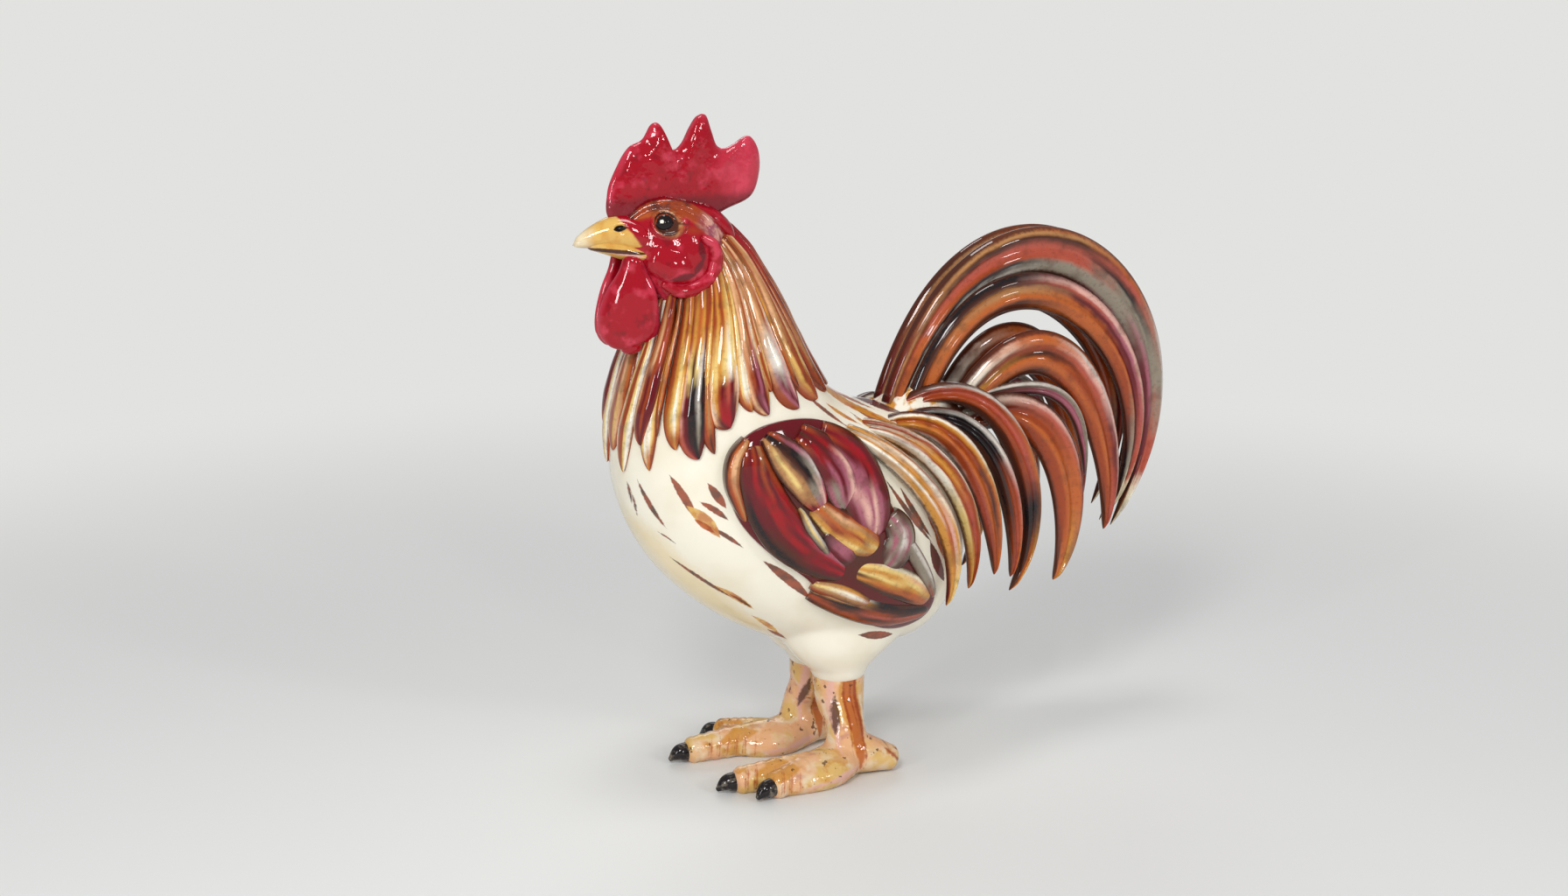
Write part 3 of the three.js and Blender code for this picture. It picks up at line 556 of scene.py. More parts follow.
class RoosterPaints(bpy.types.PropertyGroup):
    """The paint box under the clear glaze"""
    cream: colour("Cream", "Bare body white", 240, 234, 217)
    ivory: colour("Ivory", "Warm shade of the body white", 226, 214, 184)
    straw: colour("Straw", "Pale yellow of neck and wing feathers", 226, 196, 122)
    honey: colour("Honey", "Yellow brown of the neck", 200, 138, 56)
    ochre: colour("Ochre", "Beak and saddle edges", 214, 172, 92)
    orange: colour("Orange", "Burnt orange of the tail", 180, 92, 40)
    rust: colour("Rust", "Red brown strokes", 150, 62, 26)
    umber: colour("Umber", "Dark brown grooves", 74, 38, 26)
    black: colour("Black", "Eyes, claws and deepest strokes", 28, 22, 24)
    crimson: colour("Crimson", "Comb, face and wattles", 156, 8, 28)
    scarlet: colour("Scarlet", "Brighter red of the wing", 150, 14, 22)
    pink: colour("Pink", "Mottling of the red skin", 206, 64, 86)
    wine: colour("Wine", "Dark red of wing and feather ends", 98, 14, 24)
    mauve: colour("Mauve", "Purple pink of the wing", 160, 88, 104)
    # Blush and pearl serve partly as pale paint and partly as painted highlights on feathers and shanks.
    blush: colour("Blush", "Pale pink feather edges", 222, 172, 158)
    coral: colour("Coral", "Light red of the tail", 174, 80, 62)
    tan: colour("Tan", "Outer rim of the tail", 172, 122, 76)
    grey: colour("Grey", "Cool olive grey of the tail", 138, 128, 112)
    pearl: colour("Pearl", "Grey white feather edges", 206, 198, 188)
    flesh: colour("Flesh", "Peach of legs and feet", 224, 172, 128)


class RoosterGlaze(bpy.types.PropertyGroup):
    """The clear glaze over all pieces"""
    roughness: share("Roughness", "Of the glaze's surface", 0.05)
    ripple_size: length("Ripple size", "Distance between slow waves of the glaze", 16)
    ripple_height: length("Ripple height", "Height of the slow waves", 0.35)


class RoosterBody(bpy.types.PropertyGroup):
    """Body, neck feathers and wings"""
    width: length("Body width", "Across the flanks, without the wings", 90)
    thigh_spacing: length("Thigh spacing", "Between the middles of the thigh skirts", 26)
    thigh_diameter: length("Hem diameter", "Of each thigh skirt at its hem", 27)
    vent_diameter: length("Vent diameter", "Of the hole under the tail", 8)
    cube: length("Modelling grain", "Cube size at which the body's forms run together", 1.3)
    hackle_crown: length("Neck feather crown", "Height of a neck feather over the body", 4)
    hackle_edge: length("Neck feather edge", "Height at its edges", 1.2)
    plate_height: length("Wing plate height", "Of its rim above the flank", 3)
    plate_dome: length("Wing plate dome", "By which its middle stands higher", 2.5)
    petal_crown: length("Petal crown", "Rise of a wing petal to its middle", 1.5)


class RoosterHead(bpy.types.PropertyGroup):
    """Head, comb, beak, eyes, earlobes and wattles"""
    width: length("Head width", "Across the cheeks", 41)
    comb_thickness: length("Comb thickness", "Of the comb blade", 9)
    beak_width: length("Beak width", "Where it flares round the face", 26)
    eye_diameter: length("Eye diameter", "Of the whole eyeball", 9.4)
    eye_sink: length("Eye sink", "From the cheek's skin to the eyeball's middle", 3)
    brow_thickness: length("Brow thickness", "Of the ridge over the eye", 5)
    wattle_width: length("Wattle width", "At the widest place", 27)
    wattle_thickness: length("Wattle thickness", "At the widest place", 9)
    wattle_spread: length("Wattle spread", "From middle to middle", 16)
    earlobe_thickness: length("Earlobe thickness", "Of the curled rim", 6)
    earlobe_rise: length("Earlobe rise", "Of the rim's middle above the cheek", 1)


class RoosterTail(bpy.types.PropertyGroup):
    """Tail and saddle feathers"""
    root_width: length("Tail root width", "Of the boss on the rump", 32)
    thickness: length("Feather thickness", "Of a sickle feather", 9)


class RoosterFeet(bpy.types.PropertyGroup):
    """Legs, feet and claws"""
    shank_diameter: length("Shank diameter", "At the hem of the thigh", 25)
    ankle_diameter: length("Ankle diameter", "Above the foot", 18)
    foot_width: length("Foot width", "Across the instep", 27)
    toe_diameter: length("Toe diameter", "Of a front toe", 12.5)
    claw_diameter: length("Claw diameter", "At its root", 8.6)
    claw_length: length("Claw length", "From toe to tip", 11)
    cube: length("Modelling grain", "Cube size at which a leg's forms run together", 0.8)


class RoosterStage(bpy.types.PropertyGroup):
    """Floor, lamps and camera"""
    floor: colour("Floor", "Plain pale floor", 226, 226, 224)
    distance: length("Camera distance", "From the point that it looks at", 982)
    turn: angle("Camera turn", "From the side view towards the bird's front", 24)
    pitch: angle("Camera pitch", "Downwards", 13)
    sky: share("Sky", "Strength of the even light from all round", 0.32)
    key: power("Key lamp", "Power of the main lamp", 8.2)
    fill: power("Fill lamp", "Power of the wide soft lamp", 3.6)


def settings(group):
    """The user's settings of one group."""
    return getattr(bpy.context.scene, f"rooster_{group}")


def mm(group, name):
    """A size from the settings, in the drawing's millimetres."""
    return getattr(settings(group), name) / MM


# The forms that several pieces share

THIGH_TOP, HEM = 80, 43  # heights between which a thigh stands
LEG_X = 21.5             # of the thighs and the tops of the shanks


def body_form():
    """The body, from the rump up to the neck. Each station is its back, its belly and its share of the
    width."""
    return Form(mm("body", "width"), 0.92, (88, 114), (-53, 243), [
        ((86, 130), (80, 94), 0.38), ((80, 147), (76, 72), 0.64), ((66, 160), (61, 57), 0.84),
        ((48, 167), (36, 54), 0.95), ((32, 171), (10, 57), 1), ((18, 179), (-18, 67), 1.02),
        ((8, 191), (-46, 85), 1.01), ((0, 204), (-67, 108), 0.96), ((-4.5, 213), (-79, 135), 0.88),
        ((-10, 223), (-81, 161), 0.78), ((-15.5, 232), (-76, 186), 0.63), ((-21.5, 242), (-70, 205), 0.43),
        ((-30, 253.5), (-66, 221), 0.28),
    ])


def head_form():
    """The head, from the face to the nape, in the same way."""
    return Form(mm("head", "width"), 0.95, (-79, 249), (-28, 243), [
        ((-77, 256.5), (-76, 242), 0.3), ((-70, 261.5), (-71, 232), 0.56), ((-61, 264.5), (-63, 220), 0.88),
        ((-50, 265), (-51, 215), 1), ((-40, 260), (-41, 221), 0.88), ((-32, 252.5), (-33, 232), 0.5),
    ])


def on_left(form, x, z, height=0):
    """A point of a form's left flank, lifted off it sideways."""
    x, z = np.broadcast_arrays(x, z)
    return np.stack([x, -form.half_width(x, z) - height, z], -1)


def add_both(skin, shape):
    """Adds a shell made for the left side on both sides."""
    left = shape(Skin())
    for half in (left, left.mirrored()):
        skin.paints += half.paints
        skin.faces += [[corner + skin.size for corner in face] for face in half.faces]
        skin.points += half.points
        skin.values += half.values
        skin.size += half.size


# Body

# The brush strokes of each paint in the side view: where each starts and ends, its width and its bend
BODY_STROKES = {
    "rust": [
        ((-67.5, 151), (-56, 129.5), 3.5, 0.3), ((-53, 147.4), (-45, 135.5), 4, 0),
        ((-56.4, 139.1), (-43.8, 130), 3, 0.6), ((-29, 111), (-4.3, 89.3), 4.5, 0.8),
        ((21.5, 68), (42, 64.5), 4.25, 0), ((17.5, 176.6), (54, 155), 3.25, -1.6),
        ((24, 182), (40, 171), 1.75, -0.8), ((-6, 182), (17.5, 163.5), 2, -0.5),
        ((20, 170), (52, 149), 1.5, -1), ((-17.5, 72.4), (-6.4, 65.3), 2, 0),
        ((-52.5, 128), (-37, 117), 2.25, 0.5),
    ],
    "ochre": [
        ((-60.8, 137), (-46.8, 122), 5.5, 0.8), ((-47, 98.5), (-26.5, 84.4), 2.75, 0.6),
        ((-27.5, 81.5), (-11.3, 69), 2.25, 0.6), ((33.1, 155.8), (43.1, 138.4), 2, -0.8),
        ((38.1, 156), (52.6, 136.1), 2.25, -0.8), ((22.7, 167), (39.7, 157.4), 2.25, -0.5),
        ((57.3, 134.4), (66, 107), 2.5, -0.8), ((6, 192), (26, 176), 3, 0.6), ((44, 150), (57, 130), 2, -0.8),
    ],
    "honey": [
        ((2, 188), (34, 165), 3.75, -1), ((14, 178), (48, 160), 2.75, -1.4), ((24, 160), (44, 145), 2, -0.6),
        ((30, 161), (51, 146), 2.25, -0.5), ((6, 176), (26, 163), 1.875, -0.6),
    ],
    "orange": [
        ((6, 186), (40, 166), 1.75, -1.2), ((48.9, 138.6), (63.6, 103.5), 4.5, -1.4),
        ((55, 121), (64, 98), 2.5, -1), ((-57.6, 131), (-49, 124.3), 2.75, 0),
    ],
    "wine": [
        ((53.5, 110.4), (64.6, 88), 5.25, -0.8), ((30, 173), (56, 163), 3, -0.6),
    ],
    "umber": [
        ((30.6, 141.7), (55.6, 108.3), 2.75, -1), ((38.1, 137.1), (54.5, 111.5), 3, -1),
        ((-77.2, 147), (-66, 124.5), 1.875, -1.1), ((-40, 94), (-28, 85.5), 1.625, 0.4),
        ((-79.4, 144.8), (-77.3, 134.3), 1, 0), ((-69.8, 123.6), (-62, 117.6), 1, 0.3),
        ((-64.3, 111.8), (-36, 90.5), 1.75, -0.5), ((-78.4, 141.1), (-75, 127.9), 0.875, 0),
    ],
}

# The paint that shows in a stroke where the brush pressed
PRESSED = {"rust": "umber", "ochre": "orange", "honey": "orange", "orange": "rust", "wine": "umber",
           "umber": "rust"}


def body_glaze():
    """Cream body with painted shade in straw along the lower edge of the breast and belly, and single brush
    strokes, each darker where the brush pressed."""
    glaze = Glaze("body paint")
    wobble = glaze.sway(1.5, 0.7, 3.0)
    pressed = glaze.clouds(5.0, 0.4, 0.62)
    colour = glaze.mix(glaze.clouds(26.0, 0.35, 0.75) * 0.55, paint("cream"), paint("ivory"))
    # Painted shade: a soft straw band along the lower edge of the breast and belly.
    belly_shade = glaze.stroke((-88, 145), (-4, 62), 14, -9, wobble * 5, 5.0)
    colour = glaze.over(colour, "straw", belly_shade * 0.45)
    masks = []
    for name, runs in BODY_STROKES.items():
        masks.append(glaze.strokes(runs, wobble))
        colour = glaze.mix(masks[-1] * 0.94, colour, glaze.over(paint(name), PRESSED[name], pressed * 0.75))
    return glaze.finish(colour, any_of(masks) * 0.05)


class ROOSTER_OT_body(bpy.types.Operator):
    """Shape and paint the body with both thighs and its vent hole"""
    bl_idname = "rooster.body"
    bl_label = "Body"

    def execute(self, context):
        spacing, hem = mm("body", "thigh_spacing"), mm("body", "thigh_diameter")
        skin = form_shell(Skin(), body_form(), rows=110, turns=96)
        for hand in (LEFT, RIGHT):
            y = hand * spacing / 2
            limb(skin, [(LEG_X + 2, y, THIGH_TOP), (LEG_X, y, 60), (LEG_X, y, HEM + hem / 6)],
                 np.array([3.1, 2, 1]) * hem, np.array([1.5, 1.4, 1]) * hem)
        hole = limb(Skin(), [(56, 0, 42), (56, 0, 52), (56, 0, 68)], [mm("body", "vent_diameter")] * 3)
        mesh = run_together(skin, "body", settings("body").cube, passes=14, hole=hole)
        place_piece(mesh, "body", "cream_glaze", body_glaze())
        return {"FINISHED"}


# Neck feathers

HACKLE_TOP = 0.985          # share of the body's run from rump to neck at which they begin
HACKLE_POINT = 0.07         # the part of that run taken by a feather's leaf-shaped end
FULL_CROWN = np.radians(7)  # a feather whose half width is less stands lower

# Each feather of the left side and the breast, in degrees round the neck from the back line: where it ends,
# by how much further back it begins and half its width. Then where it ends along the body's run, its lift
# over the others and its paint. The last eight are narrow and lie over the valleys between the others.
HACKLES = [
    (180, 0, 15, 0.735, -0.3, "peach"),
    (194, 27, 9.5, 0.708, 0.2, "cream"),
    (218, 24, 8, 0.698, 0.1, "ochre"),
    (214.5, 26, 9.5, 0.742, 3.3, "maroon"),
    (238, 25, 9, 0.702, 0.3, "honey"),
    (257, 22, 5, 0.65, 0.4, "rust"),
    (249, 24, 11, 0.664, 0.8, "plum"),
    (268, 18, 10.5, 0.66, 0.9, "crimson"),
    (279.5, 14, 5.5, 0.643, 0.2, "ochre"),
    (286, 10, 7, 0.606, 0.7, "chestnut"),
    (302, 6, 8, 0.545, 0.3, "pearl"),
    (317, 3, 9, 0.5, 0.6, "peach"),
    (332, 1, 9, 0.46, 0.1, "wine"),
    (351, 0, 10.5, 0.42, 0.5, "wine"),
    (227, 26, 3.6, 0.74, 1.3, "rust"),
    (240, 24, 3.4, 0.76, 1.5, "amber"),
    (260, 21, 3.8, 0.72, 1.4, "amber"),
    (276, 15, 3.6, 0.7, 1.3, "honey"),
    (293, 8, 3.8, 0.63, 1.2, "peach"),
    (309, 4, 4, 0.56, 1.2, "rust"),
    (324, 2, 4, 0.53, 1.2, "wine"),
    (341, 0, 4, 0.5, 1.1, "wine"),
]

# Each paint of a feather: at each place along it, the colours across it from its first edge to the other
HACKLE_BANDS = {
    "cream": [
        (0, "rust tan flesh rust tan rust umber"),
        (0.4, "rust flesh straw rust rust straw cream rust"),
        (0.85, "flesh cream tan rust rust straw cream tan"),
        (0.97, "rust flesh rust rust tan straw cream rust"),
    ],
    "peach": [
        (0, "umber rust tan flesh tan rust umber"),
        (0.5, "rust tan flesh tan rust flesh tan orange umber"),
        (0.85, "rust tan ochre rust rust ochre flesh rust umber"),
        (0.97, "rust orange rust rust rust orange rust"),
    ],
    "rust": [
        (0, "umber rust umber orange rust umber"),
        (0.5, "umber rust honey tan orange rust umber"),
        (0.85, "umber rust rust orange tan orange rust umber"),
        (0.97, "umber rust umber rust umber"),
    ],
    "amber": [
        (0, "umber rust orange umber rust umber umber"),
        (0.35, "umber umber rust honey rust umber umber"),
        (0.6, "umber rust honey straw honey rust umber"),
        (0.9, "umber rust orange honey straw honey rust umber"),
        (0.98, "umber rust honey rust umber"),
    ],
    "honey": [
        (0, "umber rust umber orange rust umber umber"),
        (0.35, "umber rust honey rust honey rust umber"),
        (0.55, "umber rust honey straw honey orange umber"),
        (0.8, "rust orange honey straw cream straw honey honey rust"),
        (0.97, "umber rust orange honey orange rust umber"),
    ],
    "ochre": [
        (0, "umber rust umber honey rust rust umber"),
        (0.5, "umber rust honey straw tan honey rust umber"),
        (0.85, "umber orange straw cream ivory cream straw orange umber"),
        (0.97, "umber rust orange honey orange rust umber"),
    ],
    "maroon": [
        (0, "umber rust tan rust wine rust umber"),
        (0.4, "umber rust tan flesh rust coral rust umber"),
        (0.6, "rust flesh rust wine rust wine wine umber"),
        (0.8, "rust tan wine wine rust wine wine wine umber"),
        (0.97, "umber orange rust wine umber wine orange umber"),
    ],
    # The pearl streak down this feather's black end is a painted highlight.
    "plum": [
        (0, "umber rust umber rust umber rust umber"),
        (0.35, "umber rust honey orange honey rust rust umber"),
        (0.55, "rust blush straw umber straw pearl umber honey umber"),
        (0.66, "rust blush wine black black pearl black black rust"),
        (0.88, "rust coral wine black black grey black wine umber"),
        (0.98, "wine coral wine black umber wine umber"),
    ],
    "crimson": [
        (0, "umber rust orange umber rust rust umber"),
        (0.35, "umber rust honey rust honey straw rust umber"),
        (0.65, "rust honey straw honey straw cream straw honey rust"),
        (0.78, "rust cream honey rust wine coral wine flesh cream rust"),
        (0.93, "rust flesh wine crimson scarlet crimson wine wine flesh rust"),
        (0.99, "rust wine crimson wine rust"),
    ],
    "chestnut": [
        (0, "umber tan flesh rust tan rust umber"),
        (0.5, "rust tan flesh tan rust flesh cream tan umber"),
        (0.75, "rust flesh rust wine mauve wine flesh tan umber"),
        (0.95, "umber flesh wine mauve wine rust honey umber"),
    ],
    "pearl": [
        (0, "umber tan rust flesh tan rust umber"),
        (0.45, "rust tan flesh tan rust flesh cream tan rust"),
        (0.7, "umber flesh pearl cream pearl blush cream flesh rust"),
        (0.9, "umber rust mauve wine mauve blush wine rust umber"),
        (0.98, "umber rust mauve wine mauve rust umber"),
    ],
    "wine": [
        (0, "rust wine crimson crimson crimson crimson crimson"),
        (0.4, "rust flesh rust wine crimson crimson wine"),
        (0.8, "umber rust tan rust wine rust wine"),
        (0.97, "umber rust wine rust umber"),
    ],
}


class ROOSTER_OT_neck(bpy.types.Operator):
    """Lay the neck feathers down over the shoulders, each with a leaf-shaped end"""
    bl_idname = "rooster.neck"
    bl_label = "Neck feathers"

    def execute(self, context):
        body = body_form()
        crown, edge = mm("body", "hackle_crown"), mm("body", "hackle_edge")
        names, skin = list(HACKLE_BANDS), Skin()

        def feather(turn, sweep, half, tip, lift, name):
            run = HACKLE_TOP - tip

            def path(at):
                at = np.asarray(at, float)
                return (np.stack([turn + sweep * (1 - at) ** 1.5, HACKLE_TOP - run * at], -1),
                        np.stack([0 * at, -1 + 0 * at], -1))

            def shape(along):
                leaf_end = (1 - np.clip(1 - (1 - along) * run / HACKLE_POINT, 0, 1) ** 2) ** 0.75
                return leaf_end * (0.72 + 0.28 * np.sin(np.pi / 2 * np.minimum(along / 0.75, 1)))

            def spot(turned, station, height):
                return body.point(station, turned, height)

            own_crown = (crown - edge) * min(1, half / FULL_CROWN)
            laid_feather(skin, spot, path, half, shape, edge + lift, own_crown, rows=64, tone=turn,
                         paint=names.index(name))

        for turn, sweep, half, tip, lift, name in HACKLES:
            turn, sweep, half = np.radians((turn, sweep, half))
            feather(turn, sweep, half, tip, lift, name)
            if turn > np.pi:
                feather(2 * np.pi - turn, -sweep, half, tip, lift, name)
        glazes = [feather_glaze(f"neck feather {name}", HACKLE_BANDS[name], "rust") for name in names]
        place_piece(skin.mesh("hackle_cape"), "hackle_cape", "honey_glaze", *glazes, paints=skin.paints)
        return {"FINISHED"}


# Head

EYE = (-61, 255.5)
EYE_TURN = np.radians(13)  # by which the eyes look forwards

# The rim of the eyelids, from the eye
LID = [(-5.4, -0.4), (-4, 3.2), (0, 4.9), (4.2, 3.4), (8.2, 0.2), (4.6, -3.4), (0, -4.8), (-4, -3.6)]

# Middle lines in the side view, and the share of the full thickness at each of their points
BROW = [(-74, 257), (-66, 261.8), (-57, 263), (-48, 260.5), (-41, 254.5), (-37.5, 247)]
BROW_SHARES = [0.5, 0.8, 1, 1, 0.8, 0.5]
EARLOBE = [(-46, 249.5), (-41.5, 246), (-40, 240), (-42, 233), (-48, 228.5), (-56, 227), (-63, 230)]
EARLOBE_SHARES = [0.5, 0.9, 1, 1, 1, 1, 0.6]


def red_skin(glaze):
    """Crimson mottled with pink clouds and darker pools."""
    colour = glaze.mix(glaze.clouds(7.0, 0.5, 0.72, 4.0) * 0.65, paint("crimson"), paint("pink"))
    return glaze.over(colour, "wine", glaze.clouds(4.0, 0.56, 0.72) * 0.45)


def head_glaze():
    """Red face, a brown brow band with a painted highlight in orange along its lower edge, that turns mauve
    towards the nape, an ochre brown lid round the eye, and painted shade in dark wine in the crease inside
    the earlobe and under the comb."""
    glaze = Glaze("face paint")
    x, z = EYE
    wobble = glaze.sway(3.0, 1.2)
    brow = glaze.strokes([((-84, 254), (-54, 264), 9, 2), ((-69, 262), (-42, 258), 9, 2),
                          ((-58, 265), (-34, 243), 9, 2.5), ((-46, 259), (-30, 236), 9, 1)], wobble, 1.4)
    brown = glaze.mix(glaze.clouds(6.0, 0.4, 0.65), paint("rust"), paint("umber"))
    # Painted highlight: a lighter orange stripe along the lower edge of the brow band.
    lower = glaze.strokes([((-74, 256), (-54, 260), 2.6, 1.5), ((-66, 260), (-44, 253), 2.6, 1.6)],
                          wobble, 0.8)
    brown = glaze.over(brown, "orange", lower * 0.6)
    towards_nape = glaze.rise(glaze.level(1, 0, -0.6) + wobble * 3, -204, -192)
    soft = glaze.mix(glaze.clouds(4.0, 0.42, 0.62), paint("mauve"), paint("blush"))
    colour = glaze.mix(brow * 0.94, red_skin(glaze), glaze.mix(towards_nape * 0.75, brown, soft))
    behind = glaze.stroke((-58, 254), (-42, 251), 5, 0, wobble, 2.5)
    colour = glaze.over(colour, "rust", behind * 0.6)
    # Painted shade: dark wine in the crease inside the earlobe's curl.
    shade_in_fold = glaze.strokes([((-47.6, 249), (-46.2, 238.5), 4, 0), ((-46, 241), (-51, 233), 4, 0),
                          ((-48.5, 234.3), (-62, 232), 4, 0)], wobble, 0.9)
    colour = glaze.over(colour, "wine", shade_in_fold * 0.9)
    # Painted shade: wine strokes along the head just under the comb.
    shade_under_comb = glaze.strokes([((-82, 256), (-56, 267), 2.4, 2), ((-66, 266), (-32, 258), 2.4, 2)],
                               wobble, 0.8)
    colour = glaze.over(colour, "wine", shade_under_comb * 0.8)
    lid = glaze.mix(glaze.clouds(3.0, 0.35, 0.65, 2.0), paint("tan"), paint("rust"))
    colour = glaze.mix(glaze.near(x + 0.8, z, 5.9, 0.8) * 0.85, colour, lid)
    colour = glaze.over(colour, "umber", glaze.near(x, z, 4.9, 0.5))
    corner = glaze.stroke((x + 2, z + 0.5), (x + 9, z - 0.5), 1.8, 0, wobble, 0.6)
    return glaze.finish(glaze.over(colour, "umber", corner * 0.85), glaze.mottle(3.0) * 0.2)


class ROOSTER_OT_head(bpy.types.Operator):
    """Shape and paint the head with its brow ridges, eyelids and cheeks"""
    bl_idname = "rooster.head"
    bl_label = "Head"

    def execute(self, context):
        head, thickness = head_form(), mm("head", "brow_thickness")
        skin = form_shell(Skin(), head, rows=90, turns=72)
        brow = [on_left(head, x, z) for x, z in BROW]
        add_both(skin, lambda half: limb(half, brow, np.array(BROW_SHARES) * thickness))
        corners = closed_through(LID, np.linspace(0, 1, 17))
        lid = [on_left(head, EYE[0] + x, EYE[1] + z, 0.2) for x, z in corners]
        add_both(skin, lambda half: limb(half, lid, [2] * 17, [2.4] * 17, rows=90, turns=16))
        nape = [(-46, 0, 260), (-38, 0, 256.5), (-31, 0, 250.5), (-26, 0, 243)]
        limb(skin, nape, [8, 10, 9, 2.5], [20, 25, 25, 17])
        cheek = [on_left(head, x, z, -3.5) for x, z in ((-64, 241), (-57, 237), (-51, 233))]
        add_both(skin, lambda half: limb(half, cheek, [15, 16, 11], [10, 11, 8]))
        mesh = run_together(skin, "head", cube=0.55 * MM, passes=4)
        place_piece(mesh, "head", "crimson_glaze", head_glaze())
        return {"FINISHED"}


COMB_OUTLINE = [
    (-80, 256), (-82, 268), (-77, 280), (-72, 287), (-66, 290), (-62, 296), (-58.5, 296.5), (-56.5, 291),
    (-54.5, 286.5), (-51, 285.5), (-47.5, 288.5), (-44.5, 294), (-41, 299), (-37, 299.5), (-34.5, 293),
    (-32, 286.5), (-28, 285), (-23, 287), (-17, 290), (-12.5, 284), (-12, 274), (-16, 264), (-27, 259),
    (-36, 256), (-58, 256),
]
COMB_MIDDLE = (-45, 265)
COMB_ROWS = 33  # of points on each face, from its middle out


def grown(middle, outline, out):
    """Points of the side view at shares of the way out from a middle to each point of an outline."""
    return (middle[i] + (outline[None, :, i] - middle[i]) * out for i in (0, 1))


class ROOSTER_OT_comb(bpy.types.Operator):
    """Shape and paint the comb blade"""
    bl_idname = "rooster.comb"
    bl_label = "Comb"

    def execute(self, context):
        """From the middle of each face, rows grow out to the outline. The half thickness is the blade's,
        times the root of 1 - the share of the way out to the sixth power, with soft flutes that run up into
        the points."""
        half = mm("head", "comb_thickness") / 2
        outline = closed_through(COMB_OUTLINE, np.linspace(0, 1, 260, endpoint=False))
        out = np.sin(np.linspace(0, np.pi / 2, COMB_ROWS + 1))[1:]
        out = np.concatenate([out, out[-2::-1]])[:, None]
        face = np.where(np.arange(len(out)) < COMB_ROWS, LEFT, RIGHT)[:, None]
        x, z = grown(COMB_MIDDLE, outline, out)
        flutes = 1 + 0.09 * np.cos(x * 0.42) * np.clip((z - 268) / 14, 0, 1)
        y = face * half * np.sqrt(np.clip(1 - out ** 6, 0, 1)) * flutes
        skin = Skin().wrap(np.stack([x, y, z], -1), (COMB_MIDDLE[0], -half, COMB_MIDDLE[1]),
                           (COMB_MIDDLE[0], half, COMB_MIDDLE[1]), along=out)
        glaze = Glaze("comb paint")
        rearward = glaze.rise(glaze.level(1, 0, 0) + glaze.sway(9.0, 30, 3.0), -42, -22)
        colour = glaze.over(red_skin(glaze), "pink", rearward * 0.55)
        # Painted highlight: pink along the comb's rim.
        rim = glaze.rise(glaze.value("along") + glaze.sway(4.0, 0.1), 0.93, 1)
        colour = glaze.over(colour, "pink", rim * 0.5)
        # Painted shade: darker wine along the comb's foot, where it meets the head.
        foot = 1 - glaze.rise(glaze.level(0, 0, 1) + glaze.sway(5.0, 3), 263, 268)
        colour = glaze.over(colour, "wine", foot * 0.7)
        place_piece(skin.mesh("comb"), "comb", "crimson_glaze", glaze.finish(colour, glaze.mottle(5.0) * 0.5))
        return {"FINISHED"}


NOSTRIL = (-79, 253.5)
NOSTRIL_REACH = (2.1, 1.3)  # of its hollow, along the beak and upwards


def beak_half(form, nostrils=False):
    """A half of the beak: its form's skin, dented at the nostrils by a bell-shaped hollow."""
    along = np.linspace(0, 1, 70)[:, None]
    grid = form.point(along, np.linspace(0, 2 * np.pi, 64, endpoint=False)[None])
    if nostrils:
        far = sum(((grid[..., axis] - middle) / reach) ** 2
                  for axis, middle, reach in zip((0, 2), NOSTRIL, NOSTRIL_REACH))
        grid[..., 1] *= 1 - 0.4 * np.exp(-far)
    return Skin().wrap(grid, form.start, form.end, along=along)


def beak_glaze():
    """Ochre with honey clouds and a pale tip, a dark mouth line with pink below it, black nostrils and
    crimson where the beak meets the face."""
    glaze = Glaze("beak paint")
    wobble = glaze.sway(1.5, 0.5, 3.0)
    colour = glaze.mix(glaze.clouds(5.0, 0.42, 0.68) * 0.6, paint("ochre"), paint("honey"))
    pale = 1 - glaze.rise(glaze.level(1, 0, 0) + glaze.sway(4.0, 5), -95, -88)
    colour = glaze.over(colour, "ivory", pale * 0.8)
    for name, start, end, width, bend in (("blush", (-86, 243.6), (-68, 240.8), 1.8, 0.4),
                                          ("umber", (-97, 245.6), (-65, 242.6), 2.2, -0.3),
                                          ("black", (-82, 253), (-76, 254), 3.0, 0)):
        colour = glaze.over(colour, name, glaze.stroke(start, end, width, bend, wobble, 0.35))
    root = glaze.rise(glaze.level(1, 0, 0.69) + wobble * 2, 98, 99.4)
    return glaze.finish(glaze.over(colour, "crimson", root))


class ROOSTER_OT_beak(bpy.types.Operator):
    """Shape and paint both halves of the beak"""
    bl_idname = "rooster.beak"
    bl_label = "Beak"

    def execute(self, context):
        width = mm("head", "beak_width")
        upper = Form(width, 1, (-98, 246.5), (-60, 248), [
            ((-96, 250), (-96, 245.5), 0.17), ((-91, 253.5), (-91, 245), 0.32), ((-84, 257), (-84, 245), 0.5),
            ((-77, 259), (-77, 243.5), 0.72), ((-70, 257.5), (-70, 241.5), 1), ((-64, 253), (-64, 242), 0.9),
        ])
        lower = Form(width * 0.96, 1, (-93, 246), (-60, 242), [
            ((-90, 248.5), (-90, 244), 0.25), ((-84, 249), (-84, 242), 0.46), ((-77, 248), (-77, 239.5), 0.7),
            ((-70, 246), (-70, 238), 1), ((-64, 245), (-64, 239), 0.9),
        ])
        glaze = beak_glaze()
        place_piece(beak_half(upper, nostrils=True).mesh("beak_upper"), "beak_upper", "ochre_glaze", glaze)
        place_piece(beak_half(lower).mesh("beak_lower"), "beak_lower", "ochre_glaze", glaze)
        return {"FINISHED"}


def turned_level(points, turn):
    """Points turned about the upright axis."""
    cosine, sine = np.cos(turn), np.sin(turn)
    return points @ np.array([[cosine, -sine, 0], [sine, cosine, 0], [0, 0, 1]])


